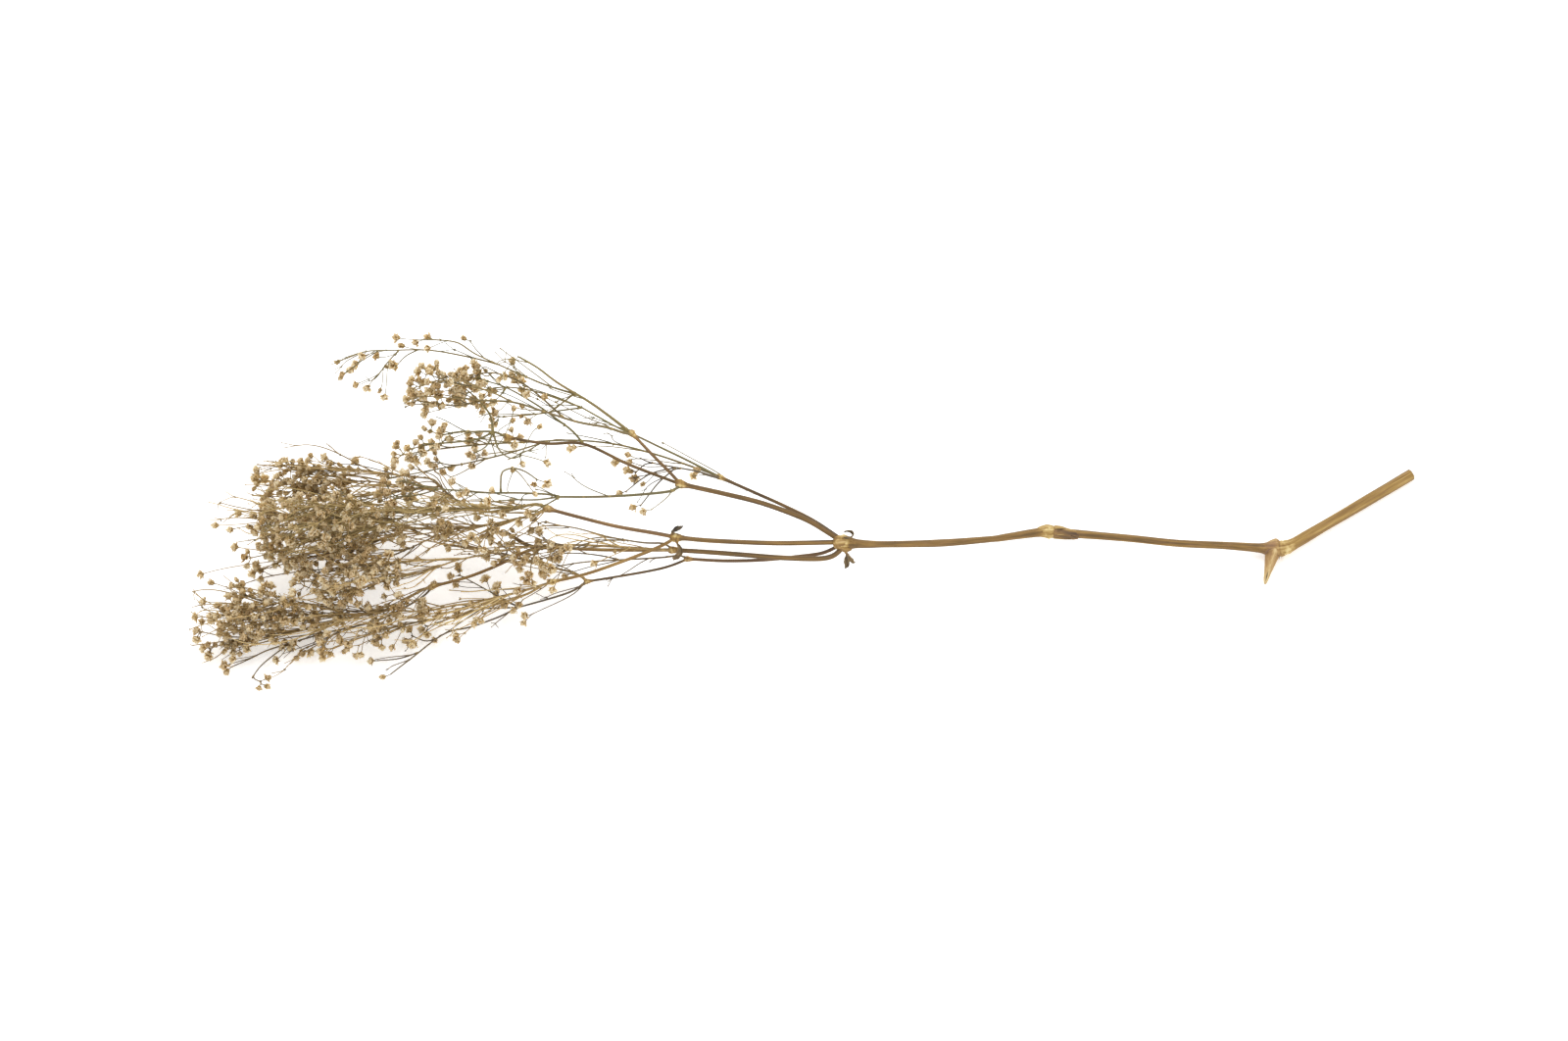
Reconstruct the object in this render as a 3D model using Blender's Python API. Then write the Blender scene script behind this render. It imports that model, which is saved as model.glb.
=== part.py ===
"""Gypsophila stem: one cut and dried flowering stem, lying on a surface.

Lengths are in millimetres in this script and become metres in the mesh. +X runs along the stem to its
cut end, +Y lies across it, +Z is up, and the surface that the stem lies on is at z = 0.

Places on the plant are written as (along, up, height). Along is x and height is z. Up is how far above
the stem's own line the place appears to a viewer who looks along +Y from VIEW_RISE above the surface.
"""

import math
import random

import bmesh
import bpy
import numpy as np
from mathutils import Vector
from mathutils.bvhtree import BVHTree

MM = 0.001

# Driving dimensions
VIEW_RISE = math.radians(58.0)
ALONG_SHIFT = -1.4
ACROSS_SHIFT = 4.0
STEM_SIDES = 8
BRANCH_SIDES = 5
BRANCH_SPACING = 17.0
TWIG_SIDES = 4
CUT_STEM_DIA = 6.0
STEM_DIA = 4.0
TWIG_SPACING = 25.0
FIRST_STEP = 9.0
TWIG_DIA = 1.0
PEDICEL_DIA = 1.05
HEAD_LENGTH = 5.0
HEAD_RADIUS = 2.8
HEAD_MIDDLE = 0.6
CORE_FROM = 0.4
CORE_TO = 0.7
CORE_RADIUS = 2.66
NOTCH_SHARE = 0.62
NOTCH_REACH = 0.66
OPEN_HEAD_SHARE = 0.16
PETALS = 5
NODE_GAP = 0.3
SEAT_GAP = 0.4
START_REACH = 12.0
START_STEP = 0.05
CURVE_STEP = 3.0
LEAF_STEP = 1.5
SEAT_ROUNDS = 6
BLADE_THICK = 0.7
SEAT_SPACING = 1.5
SEAT_SHARES = (0.2, 0.4, 0.6, 0.8)
END_INSET = 0.6
END_REACH = 24.0
LEAST_TWIG = 2.5
KNOB_RADIUS = 0.95
AXIS_PULL = 0.4
FORK_SHARE = 0.9
PEDICEL_SHARE = 1.15
LEAST_PEDICEL = 3.0
HEAD_SPACING = 5.5
HEAD_TRIES = 50
FIRST_LOOSE = 0.06
LOOSE_STEP = 0.014
AIM_LOOSE = 0.12
FLOOR_GAP = 0.05
TWIG_TRIES = 60
SWING_STEP = 0.15
MOST_SWING = 5.0
LEAST_BEND_COSINE = 0.1
LEAST_TWIG_HEIGHT = 0.8
TWIG_LEAVE = 2.5
TIP_PULL = 0.6
TUFT_REACH = 8.0
TURN_COST = 18.0
EASY_COSINE = 0.75
ROOT_RADIUS = 0.3
TWIG_LEAST_RADIUS = 0.5
FLORET_SHARE = 0.63
SHARP_WOOD = math.radians(60.0)
SHARP_FLORET = math.radians(50.0)
SEED = 41

# Thickness of the stem along its length: place and diameter, from the cut end to the main knuckle
STEM = [
    ((313.0, 35.5, 3.4), CUT_STEM_DIA),
    ((292.5, 23.5, 3.4), 5.9),
    ((267.5, 9.0, 3.9), 5.7),
    ((252.0, 0.0, 4.6), 6.4),
    ((246.5, -2.2, 5.0), 9.2),
    ((241.0, -2.6, 5.0), 8.2),
    ((236.0, -2.1, 5.1), 4.9),
    ((217.5, -0.8, 5.6), 4.1),
    ((192.5, 0.4, 6.4), STEM_DIA),
    ((167.5, 3.0, 7.4), STEM_DIA),
    ((144.0, 5.0, 8.3), 4.3),
    ((131.5, 6.0, 9.0), 4.6),
    ((127.0, 6.2, 9.2), 7.2),
    ((122.5, 6.0, 9.3), 4.6),
    ((103.0, 3.2, 10.4), 3.9),
    ((100.5, 2.8, 10.5), 3.5),
    ((72.5, 0.6, 12.2), 4.2),
    ((42.5, -0.1, 14.6), 3.5),
    ((29.5, 0.2, 15.8), 4.6),
    ((23.5, 0.8, 16.4), 8.4),
    ((18.0, 1.0, 16.6), 6.4),
]

# The dried side shoot, broken off short, that hangs from the swollen knuckle near the cut end
SPUR = [
    ((243.0, -2.6, 5.0), 7.0),
    ((241.0, -9.0, 4.6), 6.4),
    ((239.0, -16.0, 2.6), 3.8),
    ((237.5, -20.5, 1.1), 1.8),
]

# Woody branches from the main knuckle up to the knuckles that carry the sprays: diameters and places
BRANCHES = {
    "a": (2.9, 2.6, [
        (21, 2, 17), (12.5, 7.5, 21), (2.5, 13, 25), (-17.5, 20.5, 31), (-37.5, 25.5, 36.5),
        (-60, 30.5, 42),
    ]),
    "a1": (2.2, 1.9, [
        (-60, 30.5, 42), (-69.5, 34, 43), (-87.5, 41, 46), (-109.5, 51, 50), (-127.5, 51, 53),
        (-147.5, 54, 57),
    ]),
    "a2": (2.3, 2.0, [(-60, 30.5, 42), (-66, 37, 46), (-74, 45, 51), (-84.5, 56, 58)]),
    "b": (2.0, 1.7, [(21, 3, 17.5), (7.5, 12, 21), (-7.5, 19.5, 24), (-22, 26, 27), (-40, 34, 30)]),
    "c": (2.7, 2.4, [
        (20, 1, 16.8), (-7.5, 0.5, 20), (-27.5, 1, 22.5), (-47.5, 2, 25), (-62.5, 3.5, 27),
    ]),
    "c1": (2.4, 2.0, [
        (-62.5, 3.5, 27), (-72.5, 5.5, 29), (-92.5, 9, 33), (-112.5, 14, 37), (-127.5, 18, 40),
    ]),
    "c2": (2.1, 1.8, [
        (-62.5, 3.5, 27), (-70, -1, 26), (-87.5, -8, 24), (-107.5, -15, 22.5), (-124.5, -19, 21),
    ]),
    "d1": (2.0, 1.7, [
        (21, -0.5, 16), (12.5, -4.5, 12), (2.5, -6, 10.5), (-17.5, -8, 9.5), (-37.5, -8.5, 9.5),
        (-56.5, -7.5, 10),
    ]),
    "d1a": (1.7, 1.5, [
        (-56.5, -7.5, 10), (-65, -11, 9.6), (-75, -13.5, 9.2), (-95, -17, 8.6), (-107.5, -19, 8.2),
    ]),
    "d2": (2.8, 2.5, [
        (22.5, -1, 16), (18.5, -5.5, 15), (11, -7.4, 15), (-7.5, -7, 17), (-27.5, -5.5, 18),
        (-47.5, -4, 19), (-64, -3, 20),
    ]),
    "d2a": (2.6, 2.2, [
        (-64, -3, 20), (-97.5, -3, 20), (-122.5, -2, 20), (-136, -2.8, 19.5), (-152.5, -10.5, 18.5),
        (-167.5, -16.5, 17.5), (-186, -21.5, 16),
    ]),
    "stub": (2.2, 1.9, [(-130, -2.2, 19.8), (-138, -0.5, 21.5), (-149.5, 6.5, 24)]),
}

# Knuckles that the branches end in: length along the branch and diameter
KNUCKLES = {
    "a": (5.4, 4.8),
    "a1": (4.4, 3.9),
    "a2": (4.4, 3.8),
    "b": (3.8, 3.1),
    "c": (6.0, 4.8),
    "c1": (5.0, 4.2),
    "c2": (3.6, 3.0),
    "d1": (3.8, 3.2),
    "d1a": (3.4, 2.8),
    "d2": (4.6, 4.0),
    "d2a": (4.2, 3.3),
}

# How a knuckle swells: places along it and radii, as shares of its length and diameter
SWELL = [(-0.5, 0.30), (-0.15, 0.5), (0.2, 0.48), (0.5, 0.26)]
SWELL_FROM = 0.6
LEAST_SWELL = 0.4

# Sprays: each has its twig routes (diameters and places) and its tufts (along, up, height, heads, spread)
SPRAYS = {
    "spray_a1_tip": {
        "twigs": [
            (1.4, 1.0, [
                (-147.5, 54, 57), (-155, 57, 58), (-165, 57, 59), (-172.5, 57, 59), (-180, 55.5, 58.5),
            ]),
            (1.2, 0.9, [
                (-155, 57, 58), (-162, 53.5, 57.5), (-172, 52, 56), (-184, 51, 55), (-192, 50, 54),
            ]),
            (1.1, 0.8, [(-155, 57, 58), (-156.5, 65, 60), (-161.5, 72, 61), (-170, 79.5, 61)]),
            (1.0, 0.7, [(-155, 57, 58), (-158.5, 49.5, 60), (-164, 46.5, 60)]),
            (1.0, 0.7, [(-155, 57, 58), (-152, 48, 63), (-146, 43.5, 65), (-141.5, 44.5, 65)]),
        ],
        "tufts": [
            (-190.5, 58, 59, 3, 5), (-184, 57.5, 62, 3, 5), (-177.5, 56.5, 55, 2, 4),
            (-194, 51, 56, 3, 5), (-200, 47.5, 53, 3, 5), (-197, 44, 50, 2, 4), (-183, 50, 60, 1, 3),
            (-168, 51.5, 55, 1, 3), (-164, 46, 61, 1, 3), (-141, 43, 64, 1, 3), (-145.5, 63, 60, 1, 3),
            (-140.5, 64, 63, 1, 3), (-137, 57.5, 60, 1, 3), (-127.5, 50.5, 57, 1, 3),
            (-153.5, 66.5, 64, 1, 3), (-174, 79, 58, 3, 5), (-143.5, 50.5, 60, 1, 3),
        ],
    },
    "spray_a1_twig": {
        "twigs": [
            (1.2, 0.9, [
                (-109.5, 51, 50), (-115, 57.5, 52), (-125, 65, 55), (-133.5, 71, 57),
                (-148.5, 79.5, 59), (-162.5, 84, 60),
            ]),
            (0.9, 0.8, [(-148.5, 79.5, 59), (-152, 75, 56)]),
        ],
        "tufts": [
            (-166, 87, 62, 3, 5), (-171, 85, 58, 2, 4), (-154.5, 73, 54, 1, 3), (-160, 89, 56, 2, 4),
        ],
    },
    "spray_a2_upper": {
        "twigs": [
            (1.9, 1.3, [
                (-84.5, 56, 58), (-97.5, 66, 62), (-107.5, 73, 65), (-122.5, 82, 70),
                (-132.5, 89.5, 74), (-142, 95, 78),
            ]),
            (1.3, 1.0, [
                (-112, 75.8, 66.2), (-127.5, 80.5, 67), (-137.5, 84.5, 69), (-146.5, 88.5, 71),
                (-154.5, 92, 72),
            ]),
            (1.0, 0.8, [
                (-154.5, 92, 72), (-165, 97, 74), (-172.5, 102, 74), (-180, 103.5, 74), (-190, 104, 73),
            ]),
            (1.0, 0.7, [
                (-153, 91.3, 71.6), (-167.5, 95, 71), (-187.5, 98.5, 70), (-207.5, 98.5, 68),
                (-220, 98, 66), (-230, 95, 64),
            ]),
            (0.9, 0.7, [(-203, 98.5, 68.5), (-208.5, 93, 66), (-213, 87, 64), (-217, 83, 62)]),
            (0.9, 0.7, [(-114, 76.6, 66.4), (-120, 72, 58), (-127.5, 67, 50), (-140, 66, 46)]),
        ],
        "tufts": [
            (-203.5, 106, 73, 1, 3), (-196.5, 105.5, 75, 2, 4), (-190, 105, 70, 1, 3),
            (-235, 92.5, 63, 2, 4), (-228, 93, 66, 2, 4), (-222, 94.5, 69, 1, 3),
            (-214.5, 95.5, 63, 1, 3), (-205, 101, 65, 1, 3), (-188.5, 98.5, 75, 1, 3),
            (-228.5, 86.5, 62, 2, 4), (-224.5, 81.5, 60, 2, 4), (-220, 78.5, 64, 1, 3),
            (-213, 78, 59, 1, 3), (-208.5, 75.8, 63, 1, 3), (-208, 88.5, 61, 3, 5),
            (-146.7, 88.8, 64, 4, 6), (-153, 85.5, 76, 2, 4), (-141.5, 65, 50, 2, 4),
            (-136.5, 64, 56, 1, 3),
        ],
    },
    "spray_a2_lower": {
        "twigs": [
            (1.6, 1.2, [
                (-84.5, 56, 58), (-88.5, 56.3, 61), (-97.5, 59.2, 63), (-112.5, 62, 64),
                (-130, 67.5, 66), (-145, 72, 67), (-162.5, 73, 68), (-176, 75, 68),
            ]),
            (1.1, 0.8, [
                (-119, 64.2, 64.6), (-132.5, 76, 63), (-142.5, 83, 63), (-155, 87, 65), (-166, 86, 67),
            ]),
            (1.0, 0.7, [(-145, 72, 67), (-158, 78, 72), (-172, 81, 76), (-182, 84, 78)]),
            (1.0, 0.7, [(-160, 73, 68), (-172, 70.5, 62), (-182, 71, 58)]),
        ],
        "tufts": [
            (-192, 88, 74, 7, 6.5), (-187, 82, 83, 6, 6), (-197.5, 79, 74, 7, 6.5),
            (-198, 73.5, 65, 6, 6), (-187, 77, 68, 7, 6.5), (-190, 67.5, 62, 2, 4),
            (-179, 82, 71, 6, 6), (-172, 78, 65, 5, 5.5), (-166, 89, 71, 5, 5.5), (-173, 88, 79, 4, 5),
            (-186, 73, 54, 4, 5), (-154.5, 66.5, 61, 1, 3), (-177, 76, 56, 4, 5),
        ],
    },
    "spray_a3": {
        "twigs": [
            (1.7, 1.4, [
                (-60, 30.5, 42), (-64.5, 27, 44), (-82.5, 25, 47), (-102.5, 24, 50), (-121, 24, 52),
            ]),
            (1.3, 0.9, [
                (-121, 24, 52), (-127.5, 25.3, 53), (-142.5, 26, 54), (-156.5, 26, 55),
                (-168.5, 27, 56), (-182.5, 28, 57), (-194, 30, 57),
            ]),
            (1.0, 0.8, [(-121, 24, 52), (-132.5, 22.5, 55), (-142.5, 22.5, 57), (-151, 22, 58)]),
            (0.9, 0.7, [(-121, 24, 52), (-127, 20.5, 50), (-133, 17, 48)]),
            (0.9, 0.7, [
                (-151, 26, 54.6), (-151, 32, 58), (-150, 37, 60), (-144, 38.5, 60), (-138, 36.5, 61),
                (-133, 33, 62),
            ]),
            (1.0, 0.7, [(-182.5, 28, 57), (-193, 25, 54), (-203, 24, 51)]),
        ],
        "tufts": [
            (-142, 37.5, 61, 1, 3), (-133, 29.5, 62, 2, 4), (-126.5, 30.5, 63, 1, 3),
            (-201, 24, 49, 4, 6), (-169.5, 23, 59, 3, 5), (-158, 21.5, 60, 2, 4),
            (-137, 15.5, 46, 2, 4), (-203, 33, 57, 3, 5), (-212, 30, 52, 4, 6), (-208, 22, 58, 3, 5),
            (-185, 20.5, 57, 2, 4), (-175, 31, 60, 1, 3),
        ],
    },
    "spray_b_far": {
        "twigs": [
            (1.5, 1.2, [
                (-40, 34, 30), (-57.5, 43, 31.5), (-70, 49, 32.5), (-84.5, 56, 33), (-92.5, 59.5, 33.5),
                (-110.5, 69.5, 35),
            ]),
            (1.1, 0.8, [
                (-110.5, 69.5, 35), (-120, 73, 35.5), (-135, 78, 36), (-150, 80, 36), (-165, 78, 35),
            ]),
            (1.0, 0.7, [(-110.5, 69.5, 35), (-122, 68, 31), (-136, 66, 27), (-150, 65, 24)]),
        ],
        "tufts": [
            (-144, 82, 38, 4, 5), (-163, 80, 39, 6, 6), (-174, 76, 35, 6, 6), (-158, 65, 23, 5, 6),
            (-166, 71, 29, 5, 6), (-142, 69, 19, 2, 4),
        ],
    },
    "spray_b_side": {
        "twigs": [
            (1.1, 0.8, [
                (-40, 34, 30), (-44.5, 34.8, 34.5), (-51.5, 37, 37), (-62.5, 39, 38), (-75.5, 41.5, 38),
                (-80, 43.5, 37),
            ]),
            (0.9, 0.7, [(-62.5, 39, 38), (-73.5, 36.5, 36), (-80, 33, 34), (-87.5, 27, 33)]),
            (0.9, 0.7, [(-62.5, 39, 38), (-71, 31.5, 39), (-76.5, 24.5, 39), (-80, 20, 38)]),
        ],
        "tufts": [
            (-92.5, 40, 34, 1, 3), (-86.8, 34.5, 32, 4, 5.5), (-90.5, 26, 31, 2, 4),
            (-82.6, 19, 37, 1, 3), (-80, 31, 39, 1, 3),
        ],
    },
    "spray_c1_upper": {
        "twigs": [
            (1.7, 1.3, [
                (-127.5, 18, 40), (-132.5, 20.3, 42.5), (-142.5, 19, 43.5), (-162.5, 18, 45),
                (-182.5, 17, 46), (-202.5, 16.5, 47),
            ]),
            (1.1, 0.8, [(-202.5, 16.5, 47), (-222.5, 15, 48), (-236, 12, 48), (-250, 10, 47)]),
            (1.0, 0.8, [(-196, 16.6, 46.8), (-212, 20, 50), (-228, 20, 53), (-242, 18, 54)]),
            (1.0, 0.7, [(-190, 16.8, 46.5), (-206, 12, 44), (-220, 7, 42), (-234, 3, 40)]),
        ],
        "tufts": [
            (-186, 20, 52, 4, 5), (-216, 12, 52, 6, 6), (-232, 8, 54, 7, 7), (-245, 5, 52, 7, 7),
            (-262, 4, 46, 7, 7), (-260, 14, 52, 7, 7), (-243, 17, 58, 7, 7), (-227, 19, 59, 6, 6),
            (-238, -2, 44, 7, 7), (-274, 9, 44, 6, 6),
        ],
    },
    "spray_c1_middle": {
        "twigs": [
            (1.8, 1.4, [
                (-127.5, 18, 40), (-135, 14.5, 38), (-142.5, 13, 37), (-153.5, 10.5, 35),
                (-167.5, 8.5, 33), (-179, 7, 32),
            ]),
            (1.2, 0.9, [
                (-179, 7, 32), (-192.5, 8, 32), (-207.5, 9, 31), (-232.5, 7, 31), (-248, 2, 31),
                (-260, -3, 32),
            ]),
            (1.0, 0.8, [(-222, 8.2, 31), (-238, 11, 33), (-252, 12, 34), (-266, 12, 34)]),
            (0.9, 0.7, [(-150, 11.3, 35.8), (-157, 6, 38), (-160, 3, 40)]),
        ],
        "tufts": [
            (-155.5, 6.5, 41, 5, 5.5), (-142, 12, 43, 1, 3), (-180, 8, 38, 4, 5), (-203, 3, 35, 4, 5),
            (-219, 0, 34, 6, 6), (-270, -3, 34, 7, 7), (-257, -9, 37, 7, 7), (-276, 6, 34, 7, 7),
            (-271, 15, 31, 7, 7), (-257, 20, 38, 6, 6.5), (-282, -8, 30, 3, 5), (-298.8, 4.6, 30, 1, 3),
            (-286.5, 8, 28, 2, 4), (-282.5, 15, 26, 2, 4),
        ],
    },
    "spray_c1_rise": {
        "twigs": [
            (1.4, 1.1, [
                (-127.5, 18, 40), (-133.5, 20, 36), (-142, 19, 34.5), (-150, 17, 34), (-163, 17, 34),
                (-178.5, 25.5, 34), (-185, 32.5, 35), (-193.5, 34, 36),
            ]),
            (1.1, 0.8, [
                (-193.5, 34, 36), (-207.5, 35.5, 37), (-222, 37.5, 36), (-236, 38, 34), (-250, 38, 31),
            ]),
            (1.0, 0.8, [
                (-182, 29.5, 34.6), (-192.5, 28, 35), (-205, 30, 33), (-220, 32, 30), (-236, 31, 26),
                (-250, 30, 22),
            ]),
            (1.0, 0.8, [
                (-187, 28.8, 34.9), (-202.5, 27, 31), (-217.5, 25, 27), (-232, 23, 22), (-246, 22, 17),
            ]),
        ],
        "tufts": [
            (-243, 45, 36, 1, 3), (-252, 41, 31, 7, 7), (-264, 40, 32, 7, 7), (-250, 34, 37, 6, 6.5),
            (-278, 33, 23, 6, 6), (-266, 31, 22, 7, 7), (-262, 24, 26, 7, 7), (-252, 25, 14, 7, 7),
            (-240, 28, 30, 6, 6.5), (-238, 20, 12, 5, 6), (-272, 22, 14, 6, 6.5), (-234, 33, 22, 4, 5),
        ],
    },
    "spray_c2": {
        "twigs": [
            (1.5, 1.2, [
                (-124.5, -19, 21), (-137.5, -23, 19.5), (-147, -25.5, 18.5), (-160, -28.5, 17.5),
                (-165.5, -30, 17), (-175, -31, 17), (-184, -33, 17),
            ]),
            (1.4, 1.1, [
                (-130, -20.8, 20.3), (-137, -25, 17.5), (-150, -29.5, 15.5), (-167.5, -35, 13.5),
                (-173, -37.5, 13),
            ]),
            (1.1, 0.8, [
                (-173, -37.5, 13), (-182.5, -37.5, 13), (-197.5, -40.5, 13.5), (-210, -43.5, 14),
                (-225, -48.5, 14), (-235, -52.5, 13),
            ]),
            (1.0, 0.7, [(-184, -33, 17), (-194, -34, 19), (-204, -33, 21)]),
        ],
        "tufts": [
            (-188.8, -33, 21, 7, 7), (-205, -32, 24, 6, 6.5), (-203, -40, 17, 3, 5),
            (-214.6, -43, 17, 6, 6), (-214.6, -50, 13, 4, 5), (-223.2, -57.6, 12, 2, 4),
            (-205, -53.7, 10, 1, 3), (-196.5, -52.8, 8, 1, 3), (-173.5, -35.6, 19, 2, 4),
            (-165.8, -29.8, 22, 1, 3), (-232, -51, 17, 4, 5), (-243, -54, 13, 4, 5),
            (-220, -31, 25, 2, 4), (-144.8, -25, 23, 1, 3),
        ],
    },
    "spray_d1_front": {
        "twigs": [
            (1.4, 1.2, [(-107.5, -19, 8.2), (-114, -23.3, 7.8), (-122.5, -26.5, 8), (-142, -32, 8)]),
            (1.2, 0.8, [
                (-142, -32, 8), (-152.5, -37, 8), (-166.5, -42, 7.5), (-180, -45.5, 7),
                (-196, -57.5, 5.5), (-207, -66, 4.5),
            ]),
            (0.9, 0.7, [(-193, -55, 5.8), (-202.5, -58, 5), (-213, -59, 4.5)]),
            (1.0, 0.7, [
                (-142, -32, 8), (-152.5, -32.5, 7.5), (-162.5, -33, 6.5), (-172.5, -36, 5.5),
                (-184, -40, 4.5),
            ]),
            (0.9, 0.7, [(-142, -32, 8), (-150, -28, 9), (-159, -23, 10), (-170, -17, 10)]),
        ],
        "tufts": [
            (-211.8, -67.5, 4, 2, 4), (-218, -59.5, 5, 2, 4), (-192, -43, 5, 3, 5),
            (-176, -14, 10, 3, 5), (-176.4, -20, 7, 2, 4), (-186, -19.3, 12, 2, 4),
            (-160, -16, 11, 2, 4), (-200, -46, 4.5, 3, 5), (-154, -22, 4.5, 2, 4),
        ],
    },
    "spray_d1_middle": {
        "twigs": [
            (1.3, 1.0, [
                (-107.5, -19, 8.2), (-113, -15, 10), (-122.5, -12.5, 10.5), (-137.5, -8.5, 11),
                (-151.5, -4.5, 12), (-167.5, -1, 13), (-180, 2, 14),
            ]),
            (1.0, 0.8, [(-180, 2, 14), (-195, 6.5, 15), (-210, 13, 14), (-226, 15, 12), (-242, 14, 9)]),
            (1.0, 0.8, [
                (-192, 5.6, 14.8), (-204, 4.5, 16), (-218, 1, 17), (-234, -3, 18), (-250, -7, 19),
            ]),
            (1.0, 0.7, [(-186, 3.8, 14.4), (-200, -3, 11), (-216, -9, 8.5), (-232, -13, 7)]),
        ],
        "tufts": [
            (-158.2, -5.9, 15, 2, 4), (-182, 9, 18, 4, 5), (-216, 7, 20, 5, 6), (-229, 9, 10, 6, 6),
            (-244, 9, 12, 6, 6.5), (-258, 4, 14, 7, 7), (-247, -3, 24, 7, 7), (-262, -9, 19, 7, 7),
            (-234, -14, 11, 6, 6), (-249, -15, 13, 7, 7), (-274, -2, 17, 6, 6), (-286.4, -7, 14, 2, 4),
            (-298.8, -10.7, 14, 2, 4), (-277, -14, 12, 6, 6),
        ],
    },
    "spray_d1_side": {
        "twigs": [
            (1.1, 0.8, [
                (-56.5, -7.5, 10), (-60.5, -5.8, 13), (-67.5, -6.6, 13), (-77.5, -7.3, 12.8),
                (-91, -8, 12.8), (-107.5, -9, 13.2), (-118, -10.5, 13.6), (-126, -12, 14),
            ]),
            (0.9, 0.7, [(-91, -8, 12.8), (-98, -6.3, 13.5), (-107.5, -5, 14), (-118, -4.5, 14)]),
        ],
        "tufts": [
            (-126.6, -6.5, 12, 3, 5), (-132, -14, 15, 3, 5), (-126, -19, 12, 2, 4), (-134, -9, 8, 2, 4),
        ],
    },
    "spray_d2_thin": {
        "twigs": [
            (1.1, 0.9, [
                (-64, -3, 20), (-68.5, 0.3, 21.5), (-77.5, 0.6, 23), (-87.5, 2, 24.5), (-98, 4, 26),
            ]),
            (0.9, 0.7, [(-98, 4, 26), (-112.5, 8, 27.5), (-121.5, 9.5, 28), (-129, 11.5, 28)]),
            (0.9, 0.7, [(-87.5, 2, 24.5), (-96, 2, 29), (-105, 0.8, 32), (-114, -1, 33.5)]),
        ],
        "tufts": [
            (-136, 9.5, 29, 3, 5), (-133, 3.5, 30, 3, 5), (-120, -3.5, 35, 3, 5), (-146, 3, 31, 3, 5),
        ],
    },
    "spray_d2_middle": {
        "twigs": [
            (1.5, 1.2, [
                (-64, -3, 20), (-69, -2.8, 22.4), (-82.5, -1.9, 24), (-107.5, -0.6, 26.5),
                (-127.5, -0.5, 27), (-142, -2, 27.5), (-158, -5, 27.5), (-173.5, -8, 27),
            ]),
            (1.1, 0.8, [(-173.5, -8, 27), (-186, -12.5, 28), (-197.5, -16, 30), (-212, -18, 31)]),
            (1.0, 0.8, [
                (-173.5, -8, 27), (-188, -8, 31), (-204, -9, 35), (-220, -12, 38), (-234, -15, 38),
            ]),
            (1.0, 0.7, [(-206, -17.3, 30.6), (-220, -22, 29), (-234, -25, 26)]),
        ],
        "tufts": [
            (-143, -10, 31, 5, 5.5), (-130, -13, 29, 5, 5.5), (-138, -19, 30, 4, 5),
            (-125, -19.5, 29, 2, 4), (-211, -9, 41, 4, 5.5), (-209, -17, 36, 5, 6),
            (-226, -17, 42, 7, 7), (-241, -18, 41, 7, 7), (-229, -26, 32, 7, 7), (-243, -27, 29, 7, 7),
            (-256, -20, 29, 6, 6.5), (-193, -10, 30, 2, 4),
        ],
    },
    "spray_d2_left": {
        "twigs": [
            (1.8, 1.4, [
                (-186, -21.5, 16), (-190, -22.8, 17.5), (-197, -26.5, 16), (-207.5, -33, 15),
                (-218, -35.5, 15), (-228, -37, 15),
            ]),
            (1.2, 0.9, [
                (-228, -37, 15), (-240, -36, 15.5), (-255, -36, 16.5), (-270, -37, 17),
                (-284, -38.5, 16),
            ]),
            (1.0, 0.8, [
                (-224, -36.4, 15), (-238, -33, 20), (-252, -30, 24), (-266, -30, 26), (-280, -31, 26),
            ]),
            (1.0, 0.8, [
                (-228, -37, 15), (-242, -41, 11), (-256, -44, 8), (-270, -46, 6.5), (-284, -48, 6),
            ]),
        ],
        "tufts": [
            (-304.5, -29, 22, 1, 3), (-307, -36, 19, 2, 4), (-307, -44, 14, 5, 5.5),
            (-302, -53.5, 6, 5, 5.5), (-297, -36, 25, 6, 6), (-289, -32, 31, 6, 6),
            (-293, -43, 19, 7, 7), (-292, -51, 9, 6, 6), (-278, -36, 29, 7, 7), (-278, -43, 19, 7, 7),
            (-265, -37, 24, 7, 7), (-268, -45, 10, 6, 6.5), (-259, -31, 31, 6, 6.5),
            (-251, -40, 17, 5, 6), (-284, -50, 5, 3, 5), (-246, -45, 7, 3, 5), (-286, -20, 30, 2, 4),
            (-294, -19.3, 26, 2, 4), (-273, -22, 30, 5, 6),
        ],
    },
    "spray_d2_front": {
        "twigs": [
            (1.2, 1.0, [
                (-186, -21.5, 16), (-189.5, -25.5, 12.8), (-198, -31, 10.5), (-212, -38, 8),
                (-226, -42, 6.5), (-240, -45, 5.5), (-257.5, -50, 4.5),
            ]),
            (0.9, 0.7, [(-257.5, -50, 4.5), (-270, -54, 4), (-278, -58, 3.8), (-287, -62, 3.6)]),
            (0.9, 0.7, [(-257.5, -50, 4.5), (-266, -56, 3.8), (-273, -62, 3.6), (-276.5, -67, 3.6)]),
            (0.9, 0.7, [(-232, -43.4, 6.1), (-240, -48.5, 5), (-250, -52.5, 4.2)]),
        ],
        "tufts": [
            (-291, -64.5, 4.2, 2, 4), (-270.5, -72, 4.2, 3, 4.5), (-265.3, -58.5, 5, 2, 4),
            (-254.5, -53.5, 8, 4, 5.5), (-288, -56, 5, 2, 4), (-243, -57, 5, 2, 4),
        ],
    },
    "spray_back": {
        "twigs": [
            (1.4, 1.1, [
                (-22, 26, 27), (-27, 28, 23.5), (-38, 33.5, 22), (-56, 40, 20), (-74, 46, 18),
                (-94, 51, 16), (-116, 53, 12), (-140, 52, 9),
            ]),
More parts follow.
